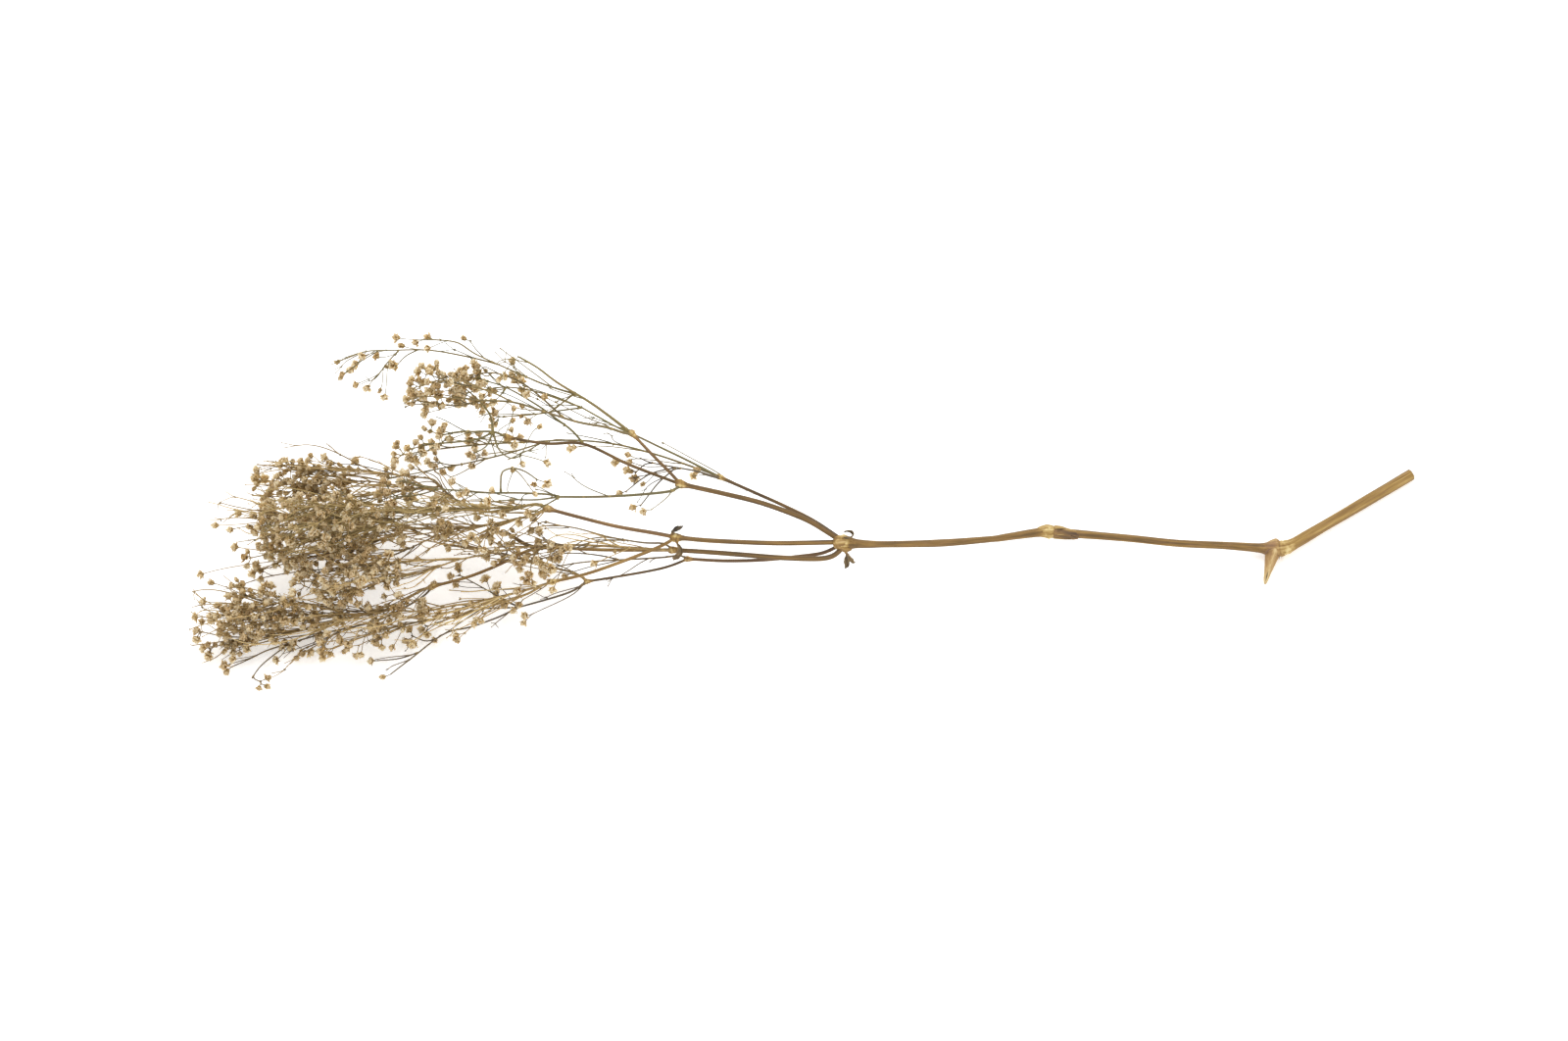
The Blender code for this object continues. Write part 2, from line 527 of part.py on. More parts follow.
            (1.1, 0.8, [(-140, 52, 9), (-160, 51, 7), (-180, 49, 5.5), (-200, 46, 5)]),
            (1.0, 0.8, [
                (-128, 52.6, 10.6), (-146, 47, 10), (-166, 42, 10), (-186, 38, 9), (-206, 34, 8),
            ]),
        ],
        "tufts": [
            (-150, 56, 8, 4, 5), (-168, 54, 6, 5, 6), (-188, 51, 7, 6, 6), (-206, 47, 6, 6, 6),
            (-168, 45, 14, 5, 6), (-188, 42, 13, 6, 6), (-210, 38, 10, 6, 6),
        ],
    },
}

# Brittle leaves that are left at two knuckles: places, widths and the way their blades are turned
LEAVES = {
    "leaf_ring": {
        "places": [
            (22.9, 4.6, 21.6), (24.9, 4.3, 21.9), (26.9, 5.1, 22.2), (27.7, 6.9, 22.4),
            (26.8, 8.6, 22.5), (24.8, 9.2, 22.5), (23.1, 8.4, 22.4),
        ],
        "widths": [1.6, 2.2, 2.4, 2.4, 2.2, 1.9, 1.4],
        "across": (0.0, -0.53, 0.85),
    },
    "leaf_folded": {
        "places": [
            (24.6, -4.9, 13.6), (24.9, -6.6, 11.6), (25.3, -8.4, 9.6), (26.0, -10.2, 8.2),
            (27.0, -11.8, 7.6),
        ],
        "widths": [2.2, 3.0, 3.8, 5.0, 5.8],
        "across": (1.0, 0.1, 0.0),
    },
    "leaf_dark_curl": {
        "places": [
            (-64.6, 5.9, 30.6), (-63.0, 6.9, 31.2), (-61.2, 7.8, 31.6), (-59.6, 8.6, 31.2),
            (-58.6, 9.6, 30.2),
        ],
        "widths": [1.8, 2.6, 2.8, 2.2, 1.2],
        "across": (0.2, -0.7, 0.7),
    },
    "leaf_hanging": {
        "places": [
            (-61.7, 0.1, 26.0), (-60.3, -1.6, 25.0), (-60.1, -3.9, 24.0), (-61.2, -6.2, 23.0),
            (-64.3, -8.0, 21.8),
        ],
        "widths": [1.4, 2.4, 2.8, 2.4, 1.2],
        "across": (0.9, 0.1, 0.4),
    },
}

# Colours from the dried plant: straw stem, cream flowers, dark brittle leaves
STRAW_STEM = (0.36, 0.23, 0.095)
CREAM_FLOWER = (0.58, 0.43, 0.25)
DARK_LEAF = (0.10, 0.065, 0.035)


def place(along, up, height):
    """The point in space that a (along, up, height) place stands for."""
    across = (up - height * math.cos(VIEW_RISE)) / math.sin(VIEW_RISE) + ACROSS_SHIFT
    return np.array([along + ALONG_SHIFT, across, height])


def unit(vector):
    return vector / max(np.linalg.norm(vector), 1e-9)


def smooth(points, spacing):
    """Points about `spacing` apart on a smooth curve through the given ones, which it keeps."""
    ends = np.vstack([2 * points[0] - points[1], points, 2 * points[-1] - points[-2]])
    curve = []
    for i in range(1, len(ends) - 2):
        before, start, stop, after = ends[i - 1 : i + 3]
        steps = max(1, round(np.linalg.norm(stop - start) / spacing))
        for t in np.arange(steps) / steps:
            linear = (stop - before) * t
            square = (2 * before - 5 * start + 4 * stop - after) * t**2
            cubic = (3 * start - before - 3 * stop + after) * t**3
            curve.append(start + 0.5 * (linear + square + cubic))
    curve.append(points[-1])
    return np.array(curve)


def tapered(first, last, count):
    return np.linspace(first / 2, last / 2, count)


def across_axes(direction):
    """Two directions square to the given one."""
    helper = np.array([0.0, 0.0, 1.0]) if abs(direction[2]) < 0.9 else np.array([1.0, 0.0, 0.0])
    side = unit(np.cross(direction, helper))
    return side, np.cross(direction, side)


def tube(points, radii, sides):
    """Closed tube along the points, with flat ends."""
    count = len(points)
    tangents = [unit(points[min(i + 1, count - 1)] - points[max(i - 1, 0)]) for i in range(count)]
    side = across_axes(tangents[0])[0]
    corners, faces = [], []
    for point, tangent, radius in zip(points, tangents, radii):
        side = unit(side - tangent * np.dot(side, tangent))
        other = np.cross(tangent, side)
        for k in range(sides):
            turn = 2 * math.pi * (k + 0.5) / sides
            corners.append(point + radius * (math.cos(turn) * side + math.sin(turn) * other))
    for ring in range(count - 1):
        for k in range(sides):
            a, b = ring * sides + k, ring * sides + (k + 1) % sides
            faces.append((a, b, b + sides, a + sides))
    faces.append(tuple(reversed(range(sides))))
    faces.append(tuple(range((count - 1) * sides, count * sides)))
    return corners, faces


def zip_rings(low, high):
    """Triangles between two rings of corners that may differ in count."""
    faces, i, k = [], 0, 0
    while i < len(low) or k < len(high):
        if k * len(low) <= i * len(high) and k < len(high):
            faces.append((low[i % len(low)], high[(k + 1) % len(high)], high[k]))
            k += 1
        else:
            faces.append((low[i % len(low)], low[(i + 1) % len(low)], high[k % len(high)]))
            i += 1
    return faces


def ring(centre, direction, side, radius, count):
    """Corners in a circle square to the direction, the first one towards side."""
    side = unit(side - direction * np.dot(side, direction))
    other = np.cross(direction, side)
    turns = [2 * math.pi * k / count for k in range(count)]
    return [centre + radius * (math.cos(turn) * side + math.sin(turn) * other) for turn in turns]


def triangle_like(base, direction, radius, roots):
    """Three corners round base, square to the direction and turned as the three root corners are."""
    middle = np.mean(roots, axis=0)
    normal = unit(np.cross(roots[1] - roots[0], roots[2] - roots[0]))
    if np.dot(normal, direction) < 0:
        normal = -normal
    hinge, cosine = np.cross(normal, direction), np.dot(normal, direction)
    corners = []
    for root in roots:
        arm = unit(root - middle)
        turned = arm * cosine + np.cross(hinge, arm) + hinge * np.dot(hinge, arm) / (1 + cosine)
        corners.append(base + radius * unit(turned))
    return corners


def add_head(corners, faces, roots, base, aim, form):
    """Adds one floret to a shape: from three root corners a pedicel, a calyx bell and petal tips."""
    root_places = [corners[i] for i in roots]
    away = unit(base - np.mean(root_places, axis=0))
    first = len(corners)
    corners += triangle_like(base, away, PEDICEL_DIA / 2, root_places)
    is_open = form.random() < OPEN_HEAD_SHARE
    rim = 2 * PETALS if is_open else PETALS
    side = corners[first] - base
    for k, turned in enumerate(ring(base, aim, side, 1.0, rim)):
        is_notch = is_open and k % 2 == 1
        radius = HEAD_RADIUS * (NOTCH_SHARE if is_notch else form.uniform(0.86, 1.0))
        reach = HEAD_LENGTH * (NOTCH_REACH if is_notch else form.uniform(0.70, 0.92))
        corners.append(base + reach * aim + radius * (turned - base))
    corners.append(base + aim * HEAD_LENGTH * (NOTCH_SHARE if is_open else form.uniform(0.80, 1.0)))
    middle = [first, first + 1, first + 2]
    high = list(range(first + 3, first + 3 + rim))
    centre = first + 3 + rim
    faces += zip_rings(roots, middle) + zip_rings(middle, high)
    faces += [(high[k], high[(k + 1) % rim], centre) for k in range(rim)]


def knob(fork, axis, count, draw):
    """A tuft's little knuckle: its corners, the face of its twig and the faces of its florets."""
    side, other = across_axes(axis)
    turn = draw.uniform(0, 2 * math.pi)
    side = math.cos(turn) * side + math.sin(turn) * other
    if count <= 3:
        corners = ring(fork - axis * KNOB_RADIUS / 3, axis, side, KNOB_RADIUS * 0.94, 3)
        corners.append(fork + axis * KNOB_RADIUS)
        return corners, (0, 1, 2), [(0, 1, 3), (1, 2, 3), (2, 0, 3)]
    rise, width = KNOB_RADIUS * 0.58, KNOB_RADIUS * 0.82
    corners = ring(fork - axis * rise, axis, side, width, 3)
    corners += ring(fork + axis * rise, axis, -side, width, 3)
    upper = [(4, 3, 2), (5, 4, 0), (3, 5, 1)]
    lower = [(0, 1, 5), (1, 2, 3), (2, 0, 4)]
    return corners, (0, 1, 2), [(3, 4, 5)] + upper + lower


class Space:
    """Round-ended bars that the nodes fill, so that what grows later is bent clear of them."""

    def __init__(self):
        self.bars = []
        self.owners = []
        self.table = None

    def add(self, node, tuft, start, stop, radius, is_head=False):
        self.bars.append((*start, *stop, radius, is_head, tuft))
        self.owners.append(node)
        self.table = None

    def add_line(self, node, tuft, points, radii):
        for i in range(len(points) - 1):
            self.add(node, tuft, points[i], points[i + 1], max(radii[i], radii[i + 1]))

    def gap(self, node, tuft, start, stop, radius, crosses_own=False):
        """Smallest gap from a bar to other tufts and nodes; it may cross its own node's twigs."""
        if self.table is None:
            self.table = np.array(self.bars)
            self.names = np.array(self.owners)
        apart_from = (self.names != node) | (self.table[:, 8] != tuft)
        if crosses_own:
            apart_from &= (self.names != node) | (self.table[:, 7] > 0)
        others = self.table[apart_from]
        if not len(others):
            return 1e9
        first, second, radii = others[:, 0:3], others[:, 3:6], others[:, 6]
        way, ways, apart = stop - start, second - first, start - first
        a, e = way @ way + 1e-9, np.sum(ways * ways, axis=1) + 1e-9
        b, c, f = ways @ way, apart @ way, np.sum(ways * apart, axis=1)
        s = np.clip((b * f - c * e) / np.maximum(a * e - b * b, 1e-9), 0, 1)
        t = np.clip((b * s + f) / e, 0, 1)
        s = np.clip((b * t - c) / a, 0, 1)
        between = apart + s[:, None] * way - t[:, None] * ways
        return float(np.min(np.linalg.norm(between, axis=1) - radii - radius))


def evened(curve, spacing, first):
    """The same curve with its points an even distance apart, after a first step of its own."""
    steps = np.linalg.norm(np.diff(curve, axis=0), axis=1)
    along = np.concatenate([[0.0], np.cumsum(steps)])
    count = max(2, round((along[-1] - first) / spacing) + 1)
    stations = np.linspace(first, along[-1], count)
    if first > 0:
        stations = np.insert(stations, 0, 0.0)
    return np.stack([np.interp(stations, along, curve[:, axis]) for axis in range(3)], axis=1)


def curve_of(route, spacing, first=0.0):
    """Smooth points and radii of a route."""
    thick, thin, places = route
    points = evened(smooth(np.array([place(*p) for p in places]), CURVE_STEP), spacing, first)
    return points, np.maximum(tapered(thick, thin, len(points)), TWIG_LEAST_RADIUS)


def seats(curves, taken):
    """Places between the rings of the twigs, where others can grow from, with the twigs' direction."""
    found = []
    for points in (curve[0] for curve in curves):
        for start, stop in zip(points, points[1:]):
            for share in SEAT_SHARES:
                spot = start + share * (stop - start)
                if all(np.linalg.norm(spot - other) > SEAT_SPACING for other in taken):
                    found.append((spot, unit(stop - start)))
    return found


def seat_cost(seat, centre, reach):
    """How badly a seat suits a tuft: too far, too near or turned away from it."""
    spot, tangent = seat
    length = np.linalg.norm(centre - spot)
    forward = np.dot(centre - spot, tangent) / max(length, 1e-6)
    return max(length - reach, (reach - length) / 2) + TURN_COST * max(0.0, EASY_COSINE - forward)


def matched(curves, taken, tufts):
    """Each tuft with its seat, the outermost first: every twig ends in one, and the rest fork off."""
    order = sorted(range(len(tufts)), key=lambda i: tufts[i][0])
    centres = [place(*tuft[:3]) for tuft in tufts]
    reaches = [tuft[4] + TUFT_REACH for tuft in tufts]
    chosen = {}
    for points in (curve[0] for curve in curves):
        ahead = unit(points[-1] - points[-2])
        end = (points[-1] - ahead * END_INSET, ahead)
        left = [i for i in order if i not in chosen]
        if left:
            best = min(left, key=lambda i: seat_cost(end, centres[i], reaches[i]))
            if seat_cost(end, centres[best], reaches[best]) < END_REACH:
                chosen[best] = end
    free = seats(curves, taken)
    for i in order:
        if i not in chosen:
            best = min(range(len(free)), key=lambda k: seat_cost(free[k], centres[i], reaches[i]))
            chosen[i] = free.pop(best)
    return [(i, tufts[i], centres[i], chosen[i]) for i in order]


def twig_to(root, tangent, tip, swing):
    """Three points of a twig that leaves along its parent and bends to its tip."""
    length = np.linalg.norm(tip - root)
    control = root + unit(tangent + TIP_PULL * unit(tip - root)) * length / 2 + swing
    return np.array([root, 0.25 * root + 0.5 * control + 0.25 * tip, tip])


def core(base, aim):
    """The ends of the thick bar inside a head."""
    return base + aim * HEAD_LENGTH * CORE_FROM, base + aim * HEAD_LENGTH * CORE_TO


def head_fits(space, node, tuft, near, root, base, aim):
    """True where a head and its pedicel are above the surface and clear of what has grown already."""
    lean = math.sqrt(max(0.0, 1 - aim[2] ** 2))
    lowest = min(base[2], base[2] + aim[2] * HEAD_LENGTH * 0.9) - HEAD_RADIUS * lean
    if lowest < FLOOR_GAP:
        return False
    middle = base + aim * HEAD_LENGTH * HEAD_MIDDLE
    if any(np.linalg.norm(middle - other) < HEAD_SPACING for other in near):
        return False
    low, high = core(base, aim)
    if space.gap(node, tuft, low, high, CORE_RADIUS) < NODE_GAP:
        return False
    start = root + unit(base - root) * min(LEAST_PEDICEL, np.linalg.norm(base - root)) / 2
    return space.gap(node, tuft, start, base, PEDICEL_DIA / 2, crosses_own=True) > NODE_GAP


def fit_head(space, node, tuft, near, fork, way, reach, draw):
    """A clear base and aim for a head that grows from the fork, or None."""
    for attempt in range(HEAD_TRIES):
        loose = FIRST_LOOSE + LOOSE_STEP * attempt
        outward = unit(way + np.array([draw.gauss(0, loose) for _ in range(3)]))
        length = max(reach * draw.uniform(0.92, 1.22), HEAD_LENGTH * HEAD_MIDDLE + LEAST_PEDICEL)
        base = fork + outward * (length - HEAD_LENGTH * HEAD_MIDDLE)
        aim = unit(outward + np.array([draw.gauss(0, AIM_LOOSE) for _ in range(3)]))
        if head_fits(space, node, tuft, near, fork, base, aim):
            space.add(node, tuft, *core(base, aim), CORE_RADIUS, True)
            space.add(node, tuft, fork, base, PEDICEL_DIA / 2)
            return base, aim
    return None


def clear_twig(space, node, tuft, root, tangent, fork, draw):
    """A twig from its root to the fork, bent until it is clear of other sprays, or None."""
    for attempt in range(TWIG_TRIES):
        swing = np.array([draw.gauss(0, 1) for _ in range(3)]) * min(SWING_STEP * attempt, MOST_SWING)
        line = twig_to(root, tangent, fork + swing / 2, swing)
        first, second = line[1] - line[0], line[2] - line[1]
        is_sharp = np.dot(unit(first), unit(second)) < LEAST_BEND_COSINE
        if is_sharp or line[:, 2].min() < LEAST_TWIG_HEIGHT:
            continue
        leave = line[0] + unit(first) * min(TWIG_LEAVE, 0.8 * np.linalg.norm(first))
        pairs = ((leave, line[1]), (line[1], line[2]))
        gaps = [space.gap(node, tuft, *pair, TWIG_DIA / 2, crosses_own=True) for pair in pairs]
        if min(gaps) > NODE_GAP:
            return line
    return None


def grow_single(space, node, tuft, root, centre, draw):
    """One floret on its own pedicel."""
    form = random.Random(f"{SEED} {node} {tuft}")
    way = unit(centre - root)
    found = fit_head(space, node, tuft, [], root, way, np.linalg.norm(centre - root), draw)
    if found is None:
        return None
    base, aim = found
    corners = ring(root, unit(base - root), across_axes(unit(base - root))[0], ROOT_RADIUS, 3)
    faces = [(2, 1, 0)]
    add_head(corners, faces, (0, 1, 2), base, aim, form)
    return corners, faces


def grow_tuft(space, node, tuft, spec, centre, seat, draw):
    """One closed shape: a twig, the knuckle that it ends in and the florets that fork from it."""
    full_count, spread = spec[3:]
    count = max(1, round(full_count * FLORET_SHARE))
    root, tangent = seat
    axis = unit(centre - root)
    if count == 1:
        return grow_single(space, node, tuft, root, centre, draw)
    fork = centre - axis * spread * FORK_SHARE
    if np.dot(fork - root, axis) < LEAST_TWIG:
        fork = root + tangent * LEAST_TWIG
    line = clear_twig(space, node, tuft, root, tangent, fork, draw)
    if line is None:
        return None
    fork = line[-1]
    axis = unit(unit(fork - line[1]) + axis)
    corners, foot, tops = knob(fork, axis, count, draw)
    form = random.Random(f"{SEED} {node} {tuft}")
    faces = []
    near = []
    for i, top in enumerate(tops):
        normal = unit(np.mean([corners[k] for k in top], axis=0) - fork)
        way = unit(normal + AXIS_PULL * axis)
        found = None
        if i < count:
            found = fit_head(space, node, tuft, near, fork, way, spread * PEDICEL_SHARE, draw)
        if found is None:
            faces.append(top)
            continue
        base, aim = found
        add_head(corners, faces, top, base, aim, form)
        near.append(base + aim * HEAD_LENGTH * HEAD_MIDDLE)
    space.add_line(node, tuft, line, [TWIG_DIA / 2] * len(line))
    last = foot
    outer, inner = unit(line[1] - fork), unit(line[0] - line[1])
    rings = ((line[1], TWIG_DIA * 0.45, unit(outer + inner)), (line[0], ROOT_RADIUS, inner))
    for point, radius, ahead in rings:
        first = len(corners)
        corners += triangle_like(point, ahead, radius, [corners[k] for k in last])
        faces += zip_rings(last, (first, first + 1, first + 2))
        last = (first, first + 1, first + 2)
    faces.append(last)
    return corners, faces


def solid(name, shape, material, collection):
    """An object from corners in millimetres and faces, with its faces pointing out."""
    corners, faces = shape
    mesh = bpy.data.meshes.new(name)
    mesh.from_pydata([tuple(np.array(corner) * MM) for corner in corners], [], faces)
    work = bmesh.new()
    work.from_mesh(mesh)
    bmesh.ops.recalc_face_normals(work, faces=work.faces)
    work.to_mesh(mesh)
    work.free()
    mesh.materials.append(material)
    item = bpy.data.objects.new(name, mesh)
    collection.objects.link(item)
    return item


def fused(name, shapes, material):
    """One closed solid: the union of shapes that reach into each other."""
    scene = bpy.context.scene
    item = solid(name, shapes[0], material, scene.collection)
    group = bpy.data.collections.new(name + "_pieces")
    scene.collection.children.link(group)
    for i, shape in enumerate(shapes[1:]):
        solid(f"{name}_piece_{i}", shape, material, group)
    union = item.modifiers.new("union", "BOOLEAN")
    union.operation = "UNION"
    union.operand_type = "COLLECTION"
    union.collection = group
    union.solver = "MANIFOLD"
    bpy.context.view_layer.update()
    graph = bpy.context.evaluated_depsgraph_get()
    whole = bpy.data.meshes.new_from_object(item.evaluated_get(graph))
    item.modifiers.clear()
    item.data = whole
    for piece in list(group.objects):
        bpy.data.objects.remove(piece)
    bpy.data.collections.remove(group)
    whole.materials.clear()
    whole.materials.append(material)
    return item


def material(name, colour, roughness):
    made = bpy.data.materials.new(name)
    made.use_nodes = True
    shader = made.node_tree.nodes["Principled BSDF"]
    shader.inputs["Base Color"].default_value = (*colour, 1.0)
    shader.inputs["Roughness"].default_value = roughness
    shader.inputs["Metallic"].default_value = 0.0
    return made


def with_knuckle(points, radii, length, diameter):
    """The branch with the swollen knuckle that it ends in."""
    end, direction = points[-1], unit(points[-1] - points[-2])
    before = [p for p in points if np.dot(end - p, direction) > length * SWELL_FROM]
    stations = before + [end + direction * length * share for share, _ in SWELL]
    swollen = [max(diameter * share, LEAST_SWELL) for _, share in SWELL]
    return np.array(stations), list(radii[: len(before)]) + swollen


def main_stem_shapes(space):
    """The stem, its knuckles and broken shoot, and the woody branches up to the sprays."""
    name = "main_stem"
    points = np.array([place(*spot) for spot, _ in STEM])
    radii = [dia / 2 for _, dia in STEM]
    shapes = [tube(points, radii, STEM_SIDES)]
    space.add_line(name, -1, points, radii)
    spur = np.array([place(*spot) for spot, _ in SPUR])
    spur_radii = [dia / 2 for _, dia in SPUR]
    shapes.append(tube(spur, spur_radii, STEM_SIDES - 1))
    space.add_line(name, -1, spur, spur_radii)
    for key, route in BRANCHES.items():
        line, line_radii = curve_of(route, BRANCH_SPACING)
        if key in KNUCKLES:
            line, line_radii = with_knuckle(line, line_radii, *KNUCKLES[key])
        shapes.append(tube(line, line_radii, BRANCH_SIDES))
        space.add_line(name, -1, line, line_radii)
    return shapes


def surface_of(item):
    """The object's surface in millimetres, to measure gaps from."""
    corners = [vertex.co / MM for vertex in item.data.vertices]
    return BVHTree.FromPolygons(corners, [tuple(face.vertices) for face in item.data.polygons])


def outside_by(surface, spots):
    """How far outside the surface the nearest spot is; less than zero where one is inside."""
    gaps = []
    for spot in spots:
        near, normal, _, distance = surface.find_nearest(Vector(spot))
        gaps.append(math.copysign(distance, (Vector(spot) - near).dot(normal)))
    return min(gaps)


def clear_of_parent(points, radius, surface):
    """The route with its start moved along it until it is just clear of the knuckle it grows from."""
    step = unit(points[1] - points[0])
    side = across_axes(step)[0]
    travel = 0.0
    while travel < START_REACH:
        spot = points[0] + step * travel
        if outside_by(surface, [spot] + ring(spot, step, side, radius, 8)) >= NODE_GAP:
            break
        travel += START_STEP
    moved = points.copy()
    moved[0] = points[0] + step * travel
    return moved


def seated(shape, surface):
    """The shape moved towards the surface until the node gap is left between them."""
    corners, faces = shape
    for _ in range(SEAT_ROUNDS):
        nearest = min(corners, key=lambda corner: surface.find_nearest(Vector(corner))[3])
        near, _, _, distance = surface.find_nearest(Vector(nearest))
        shift = unit(np.array(near) - nearest) * (distance - SEAT_GAP)
        corners = [corner + shift for corner in corners]
    return corners, faces


def spray_curves(name, spray, space, surface):
    """The spray's twigs, each but the first rooted in an earlier one, and the seats that they take."""
    curves, taken = [], []
    for i, route in enumerate(spray["twigs"]):
        points, radii = curve_of(route, TWIG_SPACING, FIRST_STEP if i == 0 else 0.0)
        if i == 0:
            points = clear_of_parent(points, radii[0], surface)
        else:
            points[0] = min(seats(curves, taken), key=lambda seat: np.linalg.norm(seat[0] - points[0]))[0]
            radii[0] *= 0.75
            taken.append(points[0])
        curves.append((points, radii))
    for points, radii in curves:
        space.add_line(name, -1, points, radii)
    return curves, taken


def blade(places, widths, across):
    """A thin curled leaf: a strip with square edges along the places, as wide as the widths."""
    points = smooth(np.array([place(*spot) for spot in places]), LEAF_STEP)
    shares = np.linspace(0, len(widths) - 1, len(points))
    corners, faces = [], []
    for i, (point, share) in enumerate(zip(points, shares)):
        ahead = unit(points[min(i + 1, len(points) - 1)] - points[max(i - 1, 0)])
        side = np.array(across) - ahead * np.dot(across, ahead)
        side = unit(side) * np.interp(share, range(len(widths)), widths) / 2
        face = unit(np.cross(ahead, side)) * BLADE_THICK / 2
        corners += [point + side + face, point - side + face, point - side - face, point + side - face]
    for first in range(0, len(corners) - 4, 4):
        for k in range(4):
            a, b = first + k, first + (k + 1) % 4
            faces.append((a, b, b + 4, a + 4))
    faces += [(3, 2, 1, 0), tuple(range(len(corners) - 4, len(corners)))]
    return corners, faces


def rounded(item, sharp_angle):
    """Shades an object smooth but for its edges sharper than the angle."""
    item.data.polygons.foreach_set("use_smooth", [True] * len(item.data.polygons))
    item.data.set_sharp_from_angle(angle=sharp_angle)


def main():
    for item in list(bpy.data.objects):
        bpy.data.objects.remove(item)
    stem_material = material("straw_stem", STRAW_STEM, 0.7)
    flower_material = material("dried_flowers", CREAM_FLOWER, 0.85)
    leaf_material = material("dark_leaf", DARK_LEAF, 0.75)
    space = Space()
    stem = fused("main_stem", main_stem_shapes(space), stem_material)
    rounded(stem, SHARP_WOOD)
    surface = surface_of(stem)
    for name, leaf in LEAVES.items():
        item = solid(name, seated(blade(**leaf), surface), leaf_material, bpy.context.scene.collection)
        rounded(item, SHARP_WOOD)
        points = np.array([place(*spot) for spot in leaf["places"]])
        space.add_line(name, -1, points, [max(leaf["widths"]) / 2] * len(points))
    twigs = {name: spray_curves(name, spray, space, surface) for name, spray in SPRAYS.items()}
    for name, spray in SPRAYS.items():
        draw = random.Random(f"{SEED} {name}")
        curves, taken = twigs[name]
        shapes = [tube(points, radii, TWIG_SIDES) for points, radii in curves]
        for i, tuft, centre, seat in matched(curves, taken, spray["tufts"]):
            grown = grow_tuft(space, name, i, tuft, centre, seat, draw)
            if grown is not None:
                shapes.append(grown)
        rounded(fused(name, shapes, flower_material), SHARP_FLORET)


main()
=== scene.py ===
# Dried gypsophila stem lying on a surface: fine wood, wiry twigs, brittle leaves and papery florets.
#
# Lengths are in millimetres here and become metres in the meshes. +X runs along the stem to its cut end,
# +Y lies across it, +Z is up. Places are written as (along, up, height): along is x, height is z, and up
# is how far above the stem's own line the place appears from VIEW_RISE above the surface.

import math
import random

import bpy
import numpy as np
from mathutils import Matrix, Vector
from mathutils.bvhtree import BVHTree


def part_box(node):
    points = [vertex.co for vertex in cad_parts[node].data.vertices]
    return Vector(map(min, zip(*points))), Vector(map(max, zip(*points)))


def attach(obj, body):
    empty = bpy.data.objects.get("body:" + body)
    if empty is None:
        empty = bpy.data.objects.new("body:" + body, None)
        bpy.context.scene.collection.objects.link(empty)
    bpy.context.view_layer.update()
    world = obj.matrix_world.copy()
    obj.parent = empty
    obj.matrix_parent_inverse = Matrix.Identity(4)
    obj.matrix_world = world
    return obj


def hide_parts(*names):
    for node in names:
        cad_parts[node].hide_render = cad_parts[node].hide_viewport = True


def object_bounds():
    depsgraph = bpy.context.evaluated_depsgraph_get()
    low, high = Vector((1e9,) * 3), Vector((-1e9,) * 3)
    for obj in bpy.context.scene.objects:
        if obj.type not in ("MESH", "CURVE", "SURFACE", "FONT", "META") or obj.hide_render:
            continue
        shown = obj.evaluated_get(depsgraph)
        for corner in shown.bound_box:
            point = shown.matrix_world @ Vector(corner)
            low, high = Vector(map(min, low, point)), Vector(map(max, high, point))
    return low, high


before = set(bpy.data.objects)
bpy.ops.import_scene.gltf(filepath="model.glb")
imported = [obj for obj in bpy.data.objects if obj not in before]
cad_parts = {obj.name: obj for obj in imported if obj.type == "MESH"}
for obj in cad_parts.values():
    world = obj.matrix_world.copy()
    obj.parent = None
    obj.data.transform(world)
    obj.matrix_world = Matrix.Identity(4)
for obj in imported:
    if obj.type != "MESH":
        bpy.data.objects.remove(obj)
cad_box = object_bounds()

MM = 0.001

# Driving dimensions, the same as the solids are grown from
VIEW_RISE = math.radians(58.0)
ALONG_SHIFT = -1.4
ACROSS_SHIFT = 4.0
CUT_STEM_DIA = 6.0
STEM_DIA = 4.0
TWIG_SPACING = 25.0
FIRST_STEP = 9.0
TWIG_DIA = 1.0
PEDICEL_DIA = 1.05
HEAD_LENGTH = 5.0
HEAD_RADIUS = 2.8
HEAD_MIDDLE = 0.6
CORE_FROM = 0.4
CORE_TO = 0.7
CORE_RADIUS = 2.66
NODE_GAP = 0.3
START_REACH = 12.0
START_STEP = 0.05
CURVE_STEP = 3.0
BRANCH_SPACING = 17.0
SEAT_SPACING = 1.5
SEAT_SHARES = (0.2, 0.4, 0.6, 0.8)
END_INSET = 0.6
END_REACH = 24.0
LEAST_TWIG = 2.5
KNOB_RADIUS = 0.95
AXIS_PULL = 0.4
FORK_SHARE = 0.9
PEDICEL_SHARE = 1.15
LEAST_PEDICEL = 3.0
HEAD_SPACING = 5.5
HEAD_TRIES = 50
FIRST_LOOSE = 0.06
LOOSE_STEP = 0.014
AIM_LOOSE = 0.12
FLOOR_GAP = 0.05
TWIG_TRIES = 60
SWING_STEP = 0.15
MOST_SWING = 5.0
LEAST_BEND_COSINE = 0.1
LEAST_TWIG_HEIGHT = 0.8
TWIG_LEAVE = 2.5
TIP_PULL = 0.6
TUFT_REACH = 8.0
TURN_COST = 18.0
EASY_COSINE = 0.75
TWIG_LEAST_RADIUS = 0.5
FLORET_SHARE = 0.63
SEED = 41

